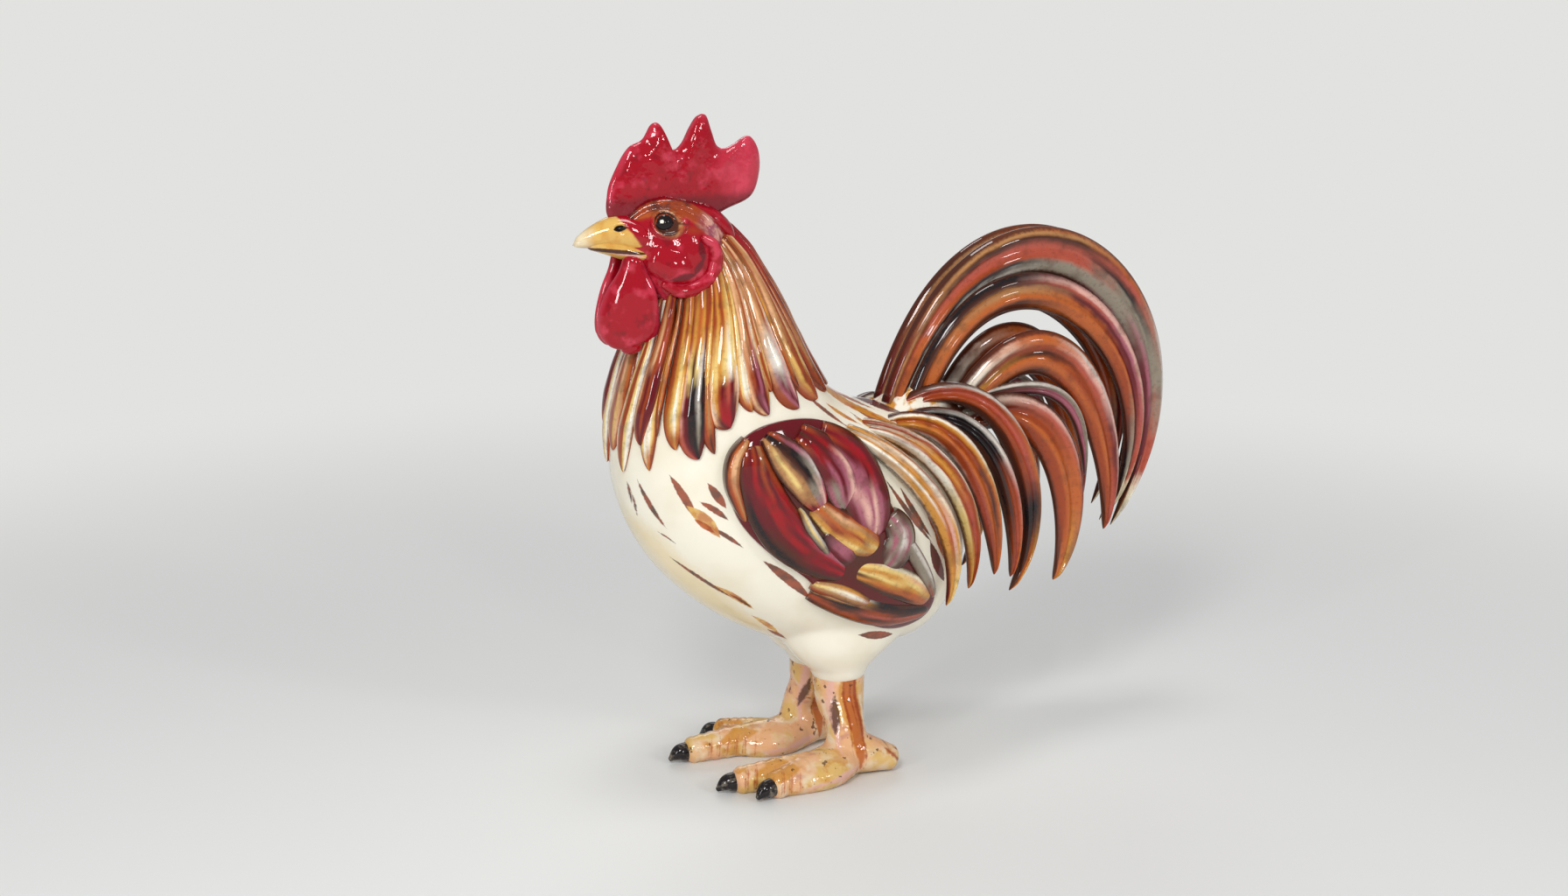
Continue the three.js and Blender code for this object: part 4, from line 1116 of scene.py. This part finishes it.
class ROOSTER_OT_eyes(bpy.types.Operator):
    """Shape and paint the eyes"""
    bl_idname = "rooster.eyes"
    bl_label = "Eyes"

    def execute(self, context):
        """Balls whose pole looks sideways and a little forwards. The share of the way from the pole is kept
        on their points."""
        radius = mm("head", "eye_diameter") / 2
        x, z = EYE
        y = float(head_form().half_width(x, z)) - mm("head", "eye_sink")
        fall = np.linspace(0, 1, 50)[1:-1, None]
        turn = np.linspace(0, 2 * np.pi, 48, endpoint=False)[None]
        middle = np.array([x, -y, z])
        ball = np.stack([np.sin(np.pi * fall) * np.cos(turn), -np.cos(np.pi * fall) + 0 * turn,
                         np.sin(np.pi * fall) * np.sin(turn)], -1) * radius
        pole = turned_level(np.array([0, -radius, 0]), EYE_TURN)
        skin = Skin().wrap(turned_level(ball, EYE_TURN) + middle, middle + pole, middle - pole, along=fall)
        glaze = Glaze("eye paint")
        from_pole = glaze.value("along")
        iris = glaze.mix(glaze.clouds(0.8, 0.4, 0.6, 2.0), paint("rust"), paint("umber"))
        colour = glaze.mix(glaze.rise(from_pole, 0.29, 0.3), paint("black"), iris)
        colour = glaze.over(colour, "black", glaze.rise(from_pole, 0.35, 0.37))
        # Painted highlight: a small cream catch light above and forward of the pupil's middle.
        colour = glaze.over(colour, "cream", glaze.near(x - 2.4, z + 1.2, 0.7, 0.2))
        place_pair(skin, "eye", "black_glaze", glaze.finish(colour, shine=0.3))
        return {"FINISHED"}


WATTLE_TURN = np.radians(28)  # by which the left one lies back against the neck
WATTLE_X = -75


class ROOSTER_OT_wattles(bpy.types.Operator):
    """Shape and paint the wattles and the curled earlobes"""
    bl_idname = "rooster.wattles"
    bl_label = "Wattles and earlobes"

    def execute(self, context):
        run = [(1, 239), (1, 234), (0.5, 226), (-1, 214), (-0.8, 208.5), (-0.4, 204.5), (0, 202.6)]
        down = np.array([0.35, 0.5, 0.8, 1, 0.95, 0.72, 0.36])
        drop = limb(Skin(), [(x, 0, z) for x, z in run], down * mm("head", "wattle_width"),
                    (0.45 + down / 2) * mm("head", "wattle_thickness"), rows=70, turns=72)
        place = (WATTLE_X, -mm("head", "wattle_spread") / 2, 0)
        drop.points = [turned_level(points, WATTLE_TURN) + place for points in drop.points]
        glaze = Glaze("wattle paint")
        edge = glaze.rise(abs(glaze.value("across")), 0.75, 1)
        colour = glaze.over(red_skin(glaze), "pink", edge * 0.5)
        place_pair(drop, "wattle", "crimson_glaze", glaze.finish(colour, glaze.mottle(9.0) * 0.3))
        head, rise = head_form(), mm("head", "earlobe_rise")
        rim = limb(Skin(), [on_left(head, x, z, rise) for x, z in EARLOBE],
                   np.array(EARLOBE_SHARES) * mm("head", "earlobe_thickness"), rows=90)
        glaze = Glaze("earlobe paint")
        colour = glaze.mix(glaze.clouds(5.0, 0.42, 0.6, 2.0) * 0.7, paint("crimson"), paint("pink"))
        place_pair(rim, "earlobe", "crimson_glaze", glaze.finish(colour))
        return {"FINISHED"}


# Wings

PLATE_OUTLINE = [
    (-45, 148), (-41, 162), (-30, 170), (-12, 172), (5, 168), (20, 156), (28, 140), (37, 120), (49, 103),
    (58, 86), (56, 73), (42, 68), (24, 74), (5, 86), (-9, 101), (-26, 114), (-40, 130),
]
PLATE_MIDDLE = (4, 122)
# The plate shows only between the petals and along the wing's lower edge; its umber and black are partly its
# paint and partly painted shade there.
PLATE_BANDS = [(0, "umber black umber black umber"), (0.97, "umber wine umber")]

# Each petal: its name, points of its middle line on the flank, half its width, its lift, its root's share of
# the width, where it is widest and its paint: at each place along it, the colours across it from its lower
# edge to its upper edge.
# The pearl and blush stripes are partly the petals' pale paint and partly painted highlights.
PETALS = [
    ("rim petal", ((-37, 166), (-42.5, 158), (-43.5, 146), (-38, 130)),
     3.2, 4.6, 0.5, 0.5, [
        (0, "umber rust tan tan orange rust umber"),
        (0.4, "umber orange flesh flesh tan orange umber"),
        (0.8, "umber rust orange tan rust umber black"),
    ]),
    ("long petal", ((-6, 94), (13, 85.5), (34, 78), (56, 76)),
     7, 4, 0.55, 0.5, [
        (0, "umber umber rust rust umber tan cream tan umber"),
        (0.3, "umber rust rust umber black tan honey cream umber"),
        (0.55, "umber rust umber coral rust umber black black umber"),
        (0.85, "umber rust rust coral umber black black umber black"),
        (0.97, "umber rust umber black umber"),
    ]),
    ("tan petal", ((-6, 98), (4, 94), (14, 89), (24, 84)),
     5, 4.4, 0.5, 0.5, [
        (0, "umber rust tan straw tan umber"),
        (0.6, "black umber tan cream honey umber"),
        (0.95, "umber rust umber"),
    ]),
    ("yellow petal", ((12, 104), (27, 98), (41, 91), (54, 82)),
     8, 4.8, 0.55, 0.5, [
        (0, "black umber honey umber straw honey straw honey umber"),
        (0.4, "black umber orange honey straw honey straw ivory umber"),
        (0.7, "umber umber orange orange honey straw flesh ivory grey"),
        (0.95, "umber orange orange tan honey tan umber"),
    ]),
    ("edge petal", ((30, 123.5), (39.5, 111), (48, 98), (57, 83)),
     4, 5, 0.55, 0.5, [
        (0, "black umber grey pearl umber"),
        (0.7, "umber grey grey pearl umber"),
        (0.95, "umber rust grey umber"),
    ]),
    ("grey petal", ((30, 126), (34.5, 118), (33, 110), (27, 102)),
     8.6, 5.6, 0.6, 0.6, [
        (0, "black umber grey mauve grey umber black"),
        (0.5, "black grey mauve grey pearl mauve grey umber"),
        (0.9, "black umber grey mauve grey umber black"),
        (0.98, "black umber black"),
    ]),
    ("dark mauve petal", ((-4, 123), (3.5, 116), (12.5, 107.5)),
     6.5, 5.2, 0.55, 0.5, [
        (0, "black black umber wine umber"),
        (0.6, "black wine mauve mauve wine umber"),
        (0.95, "black umber wine umber black"),
    ]),
    ("orange petal", ((-9, 136), (1, 127), (12, 119), (24, 111.5)),
     8.2, 5.8, 0.55, 0.6, [
        (0, "umber honey tan orange tan rust umber"),
        (0.4, "umber straw honey rust orange tan flesh rust umber"),
        (0.7, "umber honey straw honey rust honey tan orange umber"),
        (0.95, "umber rust honey straw honey rust umber"),
    ]),
    # Painted shadow: the black along this petal's lower edge, from about the middle of its run to its tip.
    ("crimson petal", ((-35, 163), (-34, 150), (-26.5, 132), (-13.5, 116.5), (10, 101.5)),
     10.6, 6, 0.4, 0.6, [
        (0, "umber rust wine rust wine tan rust umber"),
        (0.25, "umber wine wine scarlet wine rust wine rust umber"),
        (0.45, "black black wine wine scarlet scarlet wine scarlet umber"),
        (0.7, "black black umber wine scarlet wine crimson wine rust"),
        (0.92, "black umber wine crimson wine crimson mauve wine umber"),
        (0.99, "black umber wine umber black"),
    ]),
    ("cream sliver", ((-15.5, 135), (-10.5, 125), (-1, 112)),
     2.4, 7, 0.4, 0.5, [
        (0, "umber tan straw ivory umber"),
        (0.5, "umber grey straw pearl black"),
        (0.95, "umber grey black"),
    ]),
    ("outer petal", ((-2, 165), (12, 153), (17.5, 137), (21.5, 117)),
     12, 6.4, 0.5, 0.66, [
        (0, "umber rust wine umber rust wine rust umber"),
        (0.3, "umber wine wine mauve wine scarlet crimson wine umber"),
        (0.5, "umber mauve blush mauve mauve wine scarlet wine umber"),
        (0.75, "umber wine mauve blush mauve blush mauve wine umber"),
        (0.93, "umber wine wine mauve blush mauve wine umber"),
        (0.99, "umber rust umber"),
    ]),
    ("inner petal", ((-13, 167), (-3, 158), (4.5, 147), (7.5, 131.5)),
     9.6, 7.1, 0.45, 0.66, [
        (0, "umber rust wine umber wine rust umber"),
        (0.3, "umber wine scarlet crimson wine scarlet wine umber"),
        (0.55, "umber wine wine mauve wine mauve blush wine umber"),
        (0.8, "umber mauve grey mauve wine mauve blush mauve umber"),
        (0.95, "umber mauve grey mauve blush mauve umber"),
        (0.99, "black umber black"),
    ]),
    ("dark petal", ((-29, 167), (-22, 159), (-14, 148.5), (-4.5, 133)),
     8.8, 7.8, 0.35, 0.55, [
        (0, "umber tan tan umber black black rust rust umber"),
        (0.35, "umber tan straw tan umber black black mauve umber"),
        (0.65, "umber tan straw tan umber black grey pearl wine"),
        (0.8, "wine tan tan tan grey grey blush mauve wine"),
        (0.93, "wine crimson wine crimson mauve mauve blush crimson wine"),
        (0.99, "wine crimson wine"),
    ]),
]


def wing_plate(skin, body, height, dome):
    """Adds the plate: from its middle, rows grow out to the outline. Its top is the height plus the dome
    times 1 - the share of the way out squared, drawn down over the rim, and its underside lies sunk."""
    outline = closed_through(PLATE_OUTLINE, np.linspace(0, 1, 240, endpoint=False))
    out = np.sin(np.linspace(0, np.pi / 2, 40))[1:, None]
    top = height - RIM + dome * (1 - out ** 2) + RIM * np.sqrt(np.clip(1 - out ** 16, 0, 1))
    under = out[::-8]
    out, level = np.concatenate([out, under]), np.concatenate([top, -SUNK + 0 * under])
    ends = (on_left(body, *PLATE_MIDDLE, lift) for lift in (height + dome, -SUNK))
    return skin.wrap(on_left(body, *grown(PLATE_MIDDLE, outline, out), level), *ends, along=out,
                     paint=len(PETALS))


class ROOSTER_OT_wings(bpy.types.Operator):
    """Shape and paint both wings, petal by petal"""
    bl_idname = "rooster.wings"
    bl_label = "Wings"

    def execute(self, context):
        body, crown = body_form(), mm("body", "petal_crown")
        skin, glazes = Skin(), []

        def spot(x, z, height):
            return on_left(body, x, z, height)

        for index, (name, run, half, lift, root_share, widest, bands) in enumerate(PETALS):
            laid_feather(skin, spot, lambda at: smooth(run, at), half,
                         lambda along: leaf(along, root_share, widest, 0.5), lift, crown,
                         tone=index / len(PETALS), paint=index)
            glazes.append(feather_glaze(f"wing {name}", bands))
        wing_plate(skin, body, mm("body", "plate_height"), mm("body", "plate_dome"))
        place_pair(skin, "wing", "wine_glaze", *glazes, feather_glaze("wing plate", PLATE_BANDS))
        return {"FINISHED"}


# Tail and saddle

# Section of a sickle feather: two rounded ridges with a groove between them on its outer face. Each pair is
# the place across the feather, from its outer edge at 1, and the height beside it.
SICKLE_SECTION = [(1, 0), (0.6, -1), (0.12, -0.6), (-0.35, -0.95), (-1, 0), (-0.45, 0.8), (0.5, 0.8)]
SLENDER = 10          # a feather less wide than this
SLENDER_SHARE = 0.67  # has this share of the others' thickness

# Each feather: the cubic run of its middle line, its width, its root's share of it, where it is widest, the
# frame slot and its paint: at each place along it, the colours across it from its inner edge to its outer
# edge.
# The pearl and blush stripes are partly the feathers' pale paint and partly painted highlights.
SICKLES = {
    "tail_sickle_outer": (
        ((52, -4, 166), (105, -5, 306), (241, -5, 199), (171, -5, 96)), 22, 0.5, 0.42, "tan_glaze", [
            (0, "umber cream black orange orange rust tan wine wine"),
            (0.22, "tan pearl black rust coral coral umber tan umber"),
            (0.42, "umber grey grey coral coral coral umber tan orange"),
            (0.58, "mauve grey grey grey grey black coral orange rust"),
            (0.76, "black wine wine mauve grey grey grey pearl rust"),
            (0.9, "black black wine wine coral coral coral coral rust"),
            (0.97, "black umber tan ivory cream ivory cream ivory tan"),
        ]),
    "tail_sickle_inner": (
        ((63, -5, 160), (98, -8, 274), (218, -8, 186), (168, -8, 104)), 18, 0.75, 0.45, "coral_glaze", [
            (0, "umber umber orange orange orange orange umber black black"),
            (0.3, "black umber umber orange tan tan umber black black"),
            (0.5, "black orange orange orange orange wine coral blush mauve"),
            (0.7, "black rust rust orange wine wine mauve blush wine"),
            (0.9, "black black grey grey umber coral coral tan umber"),
            (0.97, "umber umber umber ivory ivory ivory ivory tan tan"),
        ]),
    "tail_middle_arc": (
        ((84, -7, 158), (134, -15, 232), (172, -15, 142), (162, -13, 97)), 21, 0.7, 0.3, "rust_glaze", [
            (0, "umber umber orange orange honey umber cream cream black"),
            (0.3, "black umber orange orange umber rust orange orange rust"),
            (0.5, "black rust orange rust rust coral blush pearl orange"),
            (0.75, "umber rust rust orange rust rust wine blush coral"),
            (0.95, "umber umber rust rust rust coral coral wine umber"),
        ]),
    "tail_slender_feather": (
        ((92, -9, 166), (138, -17, 180), (147, -18, 156), (148, -17, 126)), 7, 0.8, 0.4, "grey_glaze", [
            (0, "black black black umber umber umber pearl pearl grey"),
            (0.6, "umber umber mauve mauve mauve grey grey pearl pearl"),
        ]),
    "tail_lower_arc": (
        ((88, -9, 156), (134, -21, 178), (148, -21, 106), (131, -19, 77)), 20, 0.7, 0.35, "coral_glaze", [
            (0, "umber umber rust rust rust wine grey grey umber"),
            (0.35, "black rust rust orange rust rust coral blush umber"),
            (0.65, "umber rust rust orange orange orange orange rust umber"),
            (0.95, "umber umber orange orange honey honey tan tan rust"),
        ]),
    "covert_upper": (
        ((58, -6, 166), (102, -25, 192), (132, -25, 112), (105, -23, 76)), 12, 0.7, 0.5, "umber_glaze", [
            (0, "umber umber rust rust rust coral coral umber umber"),
            (0.35, "umber umber rust rust coral coral rust pearl umber"),
            (0.55, "umber umber rust rust coral coral orange tan umber"),
            (0.72, "umber black black black black black umber tan rust"),
            (0.92, "umber umber umber umber orange orange honey honey rust"),
        ]),
    "covert_lower": (
        ((56, -10, 160), (92, -31, 173), (109, -30, 114), (103, -27, 84)), 11, 0.6, 0.5, "black_glaze", [
            (0, "umber umber black black black black black black umber"),
            (0.4, "umber umber black black black black pearl pearl black"),
            (0.65, "black black umber umber rust rust coral blush umber"),
            (0.9, "umber umber rust rust coral coral orange orange umber"),
        ]),
    "saddle_rear": (
        ((42, -15, 160), (70, -38, 172), (92, -36, 125), (91, -33, 88)), 13, 0.5, 0.5, "honey_glaze", [
            (0, "rust rust honey honey orange orange honey cream umber"),
            (0.4, "cream rust rust orange rust rust honey cream umber"),
            (0.7, "umber coral coral orange orange umber orange straw umber"),
            (0.95, "umber umber rust rust rust orange orange umber umber"),
        ]),
    "saddle_middle": (
        ((28, -22, 162), (55, -46, 160), (82, -42, 122), (76, -36, 84)), 11, 0.6, 0.5, "rust_glaze", [
            (0, "honey honey cream cream rust cream rust rust straw"),
            (0.4, "honey cream cream rust honey honey rust cream rust"),
            (0.7, "umber straw straw rust coral coral rust straw umber"),
            (0.95, "rust rust honey honey honey rust rust umber umber"),
        ]),
    "saddle_front": (
        ((17, -30, 162), (39, -50, 152), (73, -46, 116), (62, -41, 79)), 11, 0.6, 0.5, "honey_glaze", [
            (0, "cream cream cream cream honey cream honey honey cream"),
            (0.4, "cream honey honey cream honey honey cream rust cream"),
            (0.7, "rust honey honey orange orange blush honey cream rust"),
            (0.95, "wine wine honey honey honey straw straw umber umber"),
        ]),
}


def sickle(run, width, root_share, widest, thickness):
    """A feather: its section carried along its cubic middle line. Its reach across is the leaf's width; its
    depth is a third of the thickness and two thirds of a slower leaf."""
    along = 1 - np.linspace(1, 0, 130, endpoint=False) ** 1.35
    place, heading = cubic(run, along)
    beside = unit(np.array([0, 1, 0]) - heading * heading[:, 1:2])
    outward = np.cross(heading, beside)
    section = closed_through(SICKLE_SECTION, np.linspace(0, 1, 56, endpoint=False))
    reach = (leaf(along, root_share, widest, 0.75) * width / 2)[:, None, None]
    depth = ((0.35 + 0.65 * leaf(along, 0.8, 0.4, 0.6)) * thickness / 2)[:, None, None]
    depth = depth * np.clip((1 - along) * 30, 0, 1)[:, None, None] ** 0.5
    grid = (place[:, None] + outward[:, None] * section[None, :, :1] * reach
            + beside[:, None] * section[None, :, 1:] * depth)
    return Skin().wrap(grid, run[0], run[3], across=section[None, :, 0], along=along[:, None],
                       tone=width / 100)


class ROOSTER_OT_tail(bpy.types.Operator):
    """Shape and paint the tail root, the sickle feathers, the coverts and the saddle feathers"""
    bl_idname = "rooster.tail"
    bl_label = "Tail and saddle"

    def execute(self, context):
        root = limb(Skin(), [(56, 0, 148), (70, 0, 157), (84, 0, 156), (97, 0, 152)], [44, 40, 28, 12],
                    np.array([1, 0.95, 0.75, 0.4]) * mm("tail", "root_width"), rows=60, turns=64)
        glaze = Glaze("tail root paint")
        colour = glaze.mix(glaze.clouds(6.0, 0.45, 0.6), paint("cream"), paint("honey"))
        colour = glaze.over(colour, "umber", glaze.rise(glaze.level(1, 0, -0.4), 2, 14))
        place_piece(root.mesh("tail_root"), "tail_root", "cream_glaze", glaze.finish(colour))
        for name, (run, width, root_share, widest, slot, bands) in SICKLES.items():
            thickness = mm("tail", "thickness") * (SLENDER_SHARE if width < SLENDER else 1)
            glaze = feather_glaze(name.replace("_", " ") + " paint", bands)
            place_pair(sickle(run, width, root_share, widest, thickness), name, slot, glaze)
        return {"FINISHED"}


# Legs

# Each foot: its side, then ankle, instep, heel and toe tips on the ground, as x and the distance from the
# middle plane
STANCES = {
    "left": (LEFT, (20, 25), (4, 31), (40, 30), {"inner": (-33, 27), "outer": (-21, 39)}),
    "right": (RIGHT, (17, 18), (0, 16), (38, 21), {"inner": (-39, 17), "outer": (-17, 34)}),
}
FORK_SETBACK = 8  # from halfway between the toe tips back to where the foot itself ends

# The brush strokes of each paint in the side view, as on the body
LEG_STROKES = {
    "honey": [
        ((20.5, 58), (22, 6), 11, 0.5), ((9, 56), (9, 24), 3, -0.5), ((-30, 8), (-8, 12), 6, 1),
    ],
    "blush": [
        # The first blush stroke, down the front of each shank, is partly the shank's pink and partly a
        # painted highlight.
        ((14.5, 54), (13, 10), 4, -0.5), ((0, 4), (22, 7), 4.5, 0), ((-12, 3), (6, 5), 2.6, 0),
    ],
    "orange": [
        ((21, 60), (22.5, 2), 8.5, 0.4), ((-32, 1), (-30, 13), 1.7, 1.2), ((-28, 1), (-26, 13), 1.7, 1.2),
        ((-24, 1), (-22.5, 12), 1.5, 1), ((-19.5, 1), (-17.5, 13), 1.7, 1.2),
        ((-15.5, 1), (-13.5, 13), 1.6, 1.2), ((-11.5, 1), (-10, 11), 1.4, 1),
    ],
    "rust": [
        ((23.5, 60), (25, 4), 2.8, 0.4), ((18.5, 58), (18.8, 10), 2, 0.2), ((21, 54), (22.5, 20), 1.6, 0.4),
        ((34, 14), (44, 4), 2.4, 0), ((10.5, 48), (7, 20), 1.4, -0.5), ((-33, 1), (-31.3, 12), 1.1, 1.2),
        ((-29, 1), (-27.4, 12), 1.1, 1.2), ((-20.5, 1), (-18.8, 12), 1.1, 1.2),
        ((-16.5, 1), (-14.8, 12), 1.1, 1.2),
    ],
    "umber": [
        ((15.5, 38), (12, 20), 4, 0.3), ((31, 22), (38, 10), 1.6, 1),
    ],
}


def between(a, b):
    """The point halfway between two."""
    return tuple((p + q) / 2 for p, q in zip(a, b))


def leg_glaze():
    """Peach skin with pink clouds and golden patches, then the strokes down the shanks and across the toes,
    and specks."""
    glaze = Glaze("leg paint")
    wobble = glaze.sway(2.2, 2, 3.0)
    colour = glaze.mix(glaze.clouds(11.0, 0.42, 0.62) * 0.7, paint("flesh"), paint("ivory"))
    colour = glaze.over(colour, "ochre", glaze.clouds(12.0, 0.48, 0.62) * 0.85)
    pink = glaze.rise(glaze.mottle(10.0, 3.0, stretch=(0.6, 1, 1.4)), 0.55, 0.7)
    colour = glaze.over(colour, "mauve", pink * 0.5)
    pooled = glaze.clouds(7.0, 0.53, 0.66, 4.0) * (1 - glaze.rise(glaze.level(0, 0, 1), 10, 20))
    colour = glaze.over(colour, "honey", pooled * 0.8)
    for name, runs in LEG_STROKES.items():
        colour = glaze.over(colour, name, glaze.strokes(runs, wobble, 0.9) * 0.85)
    specks = glaze.clouds(3.4, 0.66, 0.7, 2.0)
    return glaze.finish(glaze.over(colour, "umber", specks * 0.8), glaze.mottle(4.0) * 0.4)


def leg(side):
    """A shank, a foot, two ringed toes and a heel spur, each an oval carried along its path."""
    hand, ankle, instep, heel, toes = STANCES[side]
    shank, ankle_width, foot, toe = (
        mm("feet", name) for name in ("shank_diameter", "ankle_diameter", "foot_width", "toe_diameter"))
    y = mm("body", "thigh_spacing") / 2
    fork = between(toes["inner"], toes["outer"])

    def above(spot, z):
        return spot[0], hand * spot[1], z

    upright = [above((LEG_X, y), HEM + 10), above((LEG_X, y * 1.1), 34), above(ankle, 21), above(ankle, 8)]
    skin = limb(Skin(), upright, [shank, shank * 0.92, ankle_width, ankle_width * 1.45],
                [shank, shank * 0.88, ankle_width * 0.85, ankle_width * 1.2])
    limb(skin, [above(ankle, 8), above(instep, 5.5), above((fork[0] + FORK_SETBACK, fork[1]), 4.5)],
         [19, 17, 12.5], np.array([0.7, 1, 0.85]) * foot)
    for tip in toes.values():
        limb(skin, [above(instep, 7), above(between(instep, tip), 6.5), above(tip, toe * 0.42)],
             np.array([1.3, 1.15, 1]) * toe, rows=70, rings=0.035)
    return limb(skin, [above(ankle, 11), above(between(ankle, heel), 8.5), above(heel, 6)],
                np.array([1.9, 1.4, 0.95]) * toe, np.array([0.75, 0.7, 0.5]) * foot)


def flatten_soles(mesh):
    """Presses what is under the ground up to it."""
    points = np.empty(len(mesh.vertices) * 3, np.float32)
    mesh.vertices.foreach_get("co", points)
    points[2::3] = np.maximum(points[2::3], 0)
    mesh.vertices.foreach_set("co", points)
    mesh.update()


class ROOSTER_OT_legs(bpy.types.Operator):
    """Shape and paint the legs and feet"""
    bl_idname = "rooster.legs"
    bl_label = "Legs"

    def execute(self, context):
        glaze = leg_glaze()
        for side in STANCES:
            name = f"leg_{side}"
            mesh = run_together(leg(side), name, settings("feet").cube, passes=4)
            flatten_soles(mesh)
            place_piece(mesh, name, "flesh_glaze", glaze)
        return {"FINISHED"}


class ROOSTER_OT_claws(bpy.types.Operator):
    """Shape and paint the claws"""
    bl_idname = "rooster.claws"
    bl_label = "Claws"

    def execute(self, context):
        diameter, reach = mm("feet", "claw_diameter"), mm("feet", "claw_length")
        rise = mm("feet", "toe_diameter") * 0.4
        steps = ((-2, rise), (0, rise), (reach * 0.6, rise * 0.95), (reach, rise * 0.45))
        glaze = Glaze("claw paint")
        colour = glaze.mix(glaze.clouds(3.0, 0.5, 0.7, 2.0) * 0.6, paint("black"), paint("grey"))
        finish = glaze.finish(colour)
        for side, (hand, _, instep, _, toes) in STANCES.items():
            for toe, tip in toes.items():
                heading = unit(np.subtract(tip, instep))
                run = [(tip[0] + heading[0] * ahead, hand * (tip[1] + heading[1] * ahead), z)
                       for ahead, z in steps]
                name = f"claw_{toe}_{side}"
                mesh = limb(Skin(), run, np.array([0.9, 1, 0.9, 0.28]) * diameter).mesh(name)
                flatten_soles(mesh)
                place_piece(mesh, name, "black_glaze", finish)
        return {"FINISHED"}


# Stage

# In metres, apart from the lens and the sensor's width, which are in millimetres
FLOOR_REACH = 40.0
LAMP_TARGET = Vector((0, 0, 0.15))
CAMERA_TARGET = Vector((-DRAWING_MIDDLE * MM, 0, 0.1494))
LENS, SENSOR = 50, 36

# Each lamp: where it hangs, its width and height, and the setting that gives its power and its share of that
LAMPS = {
    "key": ((-0.75, -0.95, 1.05), 0.3, 0.4, "key", 1),
    "strip": ((-1.3, -0.75, 0.5), 0.1, 0.6, "key", 0.55),
    "glint": ((-0.25, -1.4, 0.6), 0.12, 0.18, "key", 0.25),
    "spark": ((0.55, -1.25, 0.72), 0.16, 0.2, "key", 0.3),
    "fill": ((0.9, -1.3, 0.8), 1.0, 0.8, "fill", 1),
    "back": ((0.4, 1.2, 1.0), 0.9, 0.6, "fill", 1),
    "top": ((-0.1, 0.0, 1.5), 0.35, 0.35, "key", 0.5),
}


def floor_glaze(shown):
    """A dull floor that, away from the bird, shows the camera and the glaze its plain colour."""
    glaze = Glaze("floor paint")
    dull = glaze.node("ShaderNodeBsdfPrincipled", {}, {"Base Color": shown, "Roughness": 0.6})
    backdrop = glaze.node("ShaderNodeEmission", {}, {"Color": shown})
    seen = any_of([glaze.node("ShaderNodeLightPath", {}, {}, f"Is {ray} Ray")
                   for ray in ("Camera", "Glossy")])
    away = glaze.vector("LENGTH", {0: glaze.spot}, "Value")
    share_seen = seen * glaze.rise(away, 300, 900)
    return glaze.surface(glaze.node("ShaderNodeMixShader", {}, {0: share_seen, 1: dull, 2: backdrop}))


class ROOSTER_OT_stage(bpy.types.Operator):
    """Set up the floor, the lamps and the camera"""
    bl_idname = "rooster.stage"
    bl_label = "Stage"

    def execute(self, context):
        scene, stage = context.scene, settings("stage")
        mesh = bpy.data.meshes.new("floor")
        corners = [(x * FLOOR_REACH, y * FLOOR_REACH, 0) for x, y in ((-1, -1), (1, -1), (1, 1), (-1, 1))]
        mesh.from_pydata(corners, [], [(0, 1, 2, 3)])
        mesh.materials.append(floor_glaze(linear(stage.floor)))
        floor = put("floor", mesh)

        sky = bpy.data.worlds.new("studio")
        sky.use_nodes = True
        light = sky.node_tree.nodes["Background"].inputs
        light["Color"].default_value = (0.96, 0.98, 1, 1)
        light["Strength"].default_value = stage.sky
        scene.world = sky
        for name, (spot, width, height, setting, part) in LAMPS.items():
            lamp = bpy.data.lights.new(name, "AREA")
            lamp.shape = "RECTANGLE"
            lamp.size = width
            lamp.size_y = height
            lamp.energy = getattr(stage, setting) * part
            placed = put(name, lamp)
            placed.location = spot
            placed.rotation_euler = (LAMP_TARGET - Vector(spot)).to_track_quat("-Z", "Y").to_euler()
            placed.visible_glossy = name != "fill"

        level = np.cos(stage.pitch)
        back = Vector((-np.sin(stage.turn) * level, -np.cos(stage.turn) * level, np.sin(stage.pitch)))
        lens = bpy.data.cameras.new("camera")
        lens.lens = LENS
        lens.sensor_width = SENSOR
        camera = put("camera", lens)
        camera.location = CAMERA_TARGET + back * stage.distance
        camera.rotation_euler = back.to_track_quat("Z", "Y").to_euler()
        scene.camera = camera
        scene.view_settings.view_transform = "Standard"
        return {"FINISHED"}


# The panel, and the run

GROUPS = {"paints": RoosterPaints, "glaze": RoosterGlaze, "body": RoosterBody, "head": RoosterHead,
          "tail": RoosterTail, "feet": RoosterFeet, "stage": RoosterStage}
STEPS = (ROOSTER_OT_stage, ROOSTER_OT_body, ROOSTER_OT_neck, ROOSTER_OT_head, ROOSTER_OT_comb,
         ROOSTER_OT_beak, ROOSTER_OT_eyes, ROOSTER_OT_wattles, ROOSTER_OT_wings, ROOSTER_OT_tail,
         ROOSTER_OT_legs, ROOSTER_OT_claws)


class ROOSTER_PT_steps(bpy.types.Panel):
    """Lists the steps that build the bird and the sizes and colours that they use"""
    bl_label = "Ceramic rooster"
    bl_idname = "ROOSTER_PT_steps"
    bl_space_type = "VIEW_3D"
    bl_region_type = "UI"
    bl_category = "Rooster"

    def draw(self, context):
        for step in STEPS:
            self.layout.operator(step.bl_idname)
        for name, group in GROUPS.items():
            box = self.layout.box()
            box.label(text=group.__doc__)
            for value in group.__annotations__:
                box.prop(settings(name), value)


def register():
    for name, group in GROUPS.items():
        bpy.utils.register_class(group)
        setattr(bpy.types.Scene, f"rooster_{name}", bpy.props.PointerProperty(type=group))
    for kind in (*STEPS, ROOSTER_PT_steps):
        bpy.utils.register_class(kind)


def unregister():
    for kind in (ROOSTER_PT_steps, *reversed(STEPS)):
        bpy.utils.unregister_class(kind)
    for name, group in GROUPS.items():
        delattr(bpy.types.Scene, f"rooster_{name}")
        bpy.utils.unregister_class(group)


def main():
    register()
    for step in STEPS:
        getattr(bpy.ops.rooster, step.bl_idname.split(".")[1])()


if __name__ == "__main__":
    main()
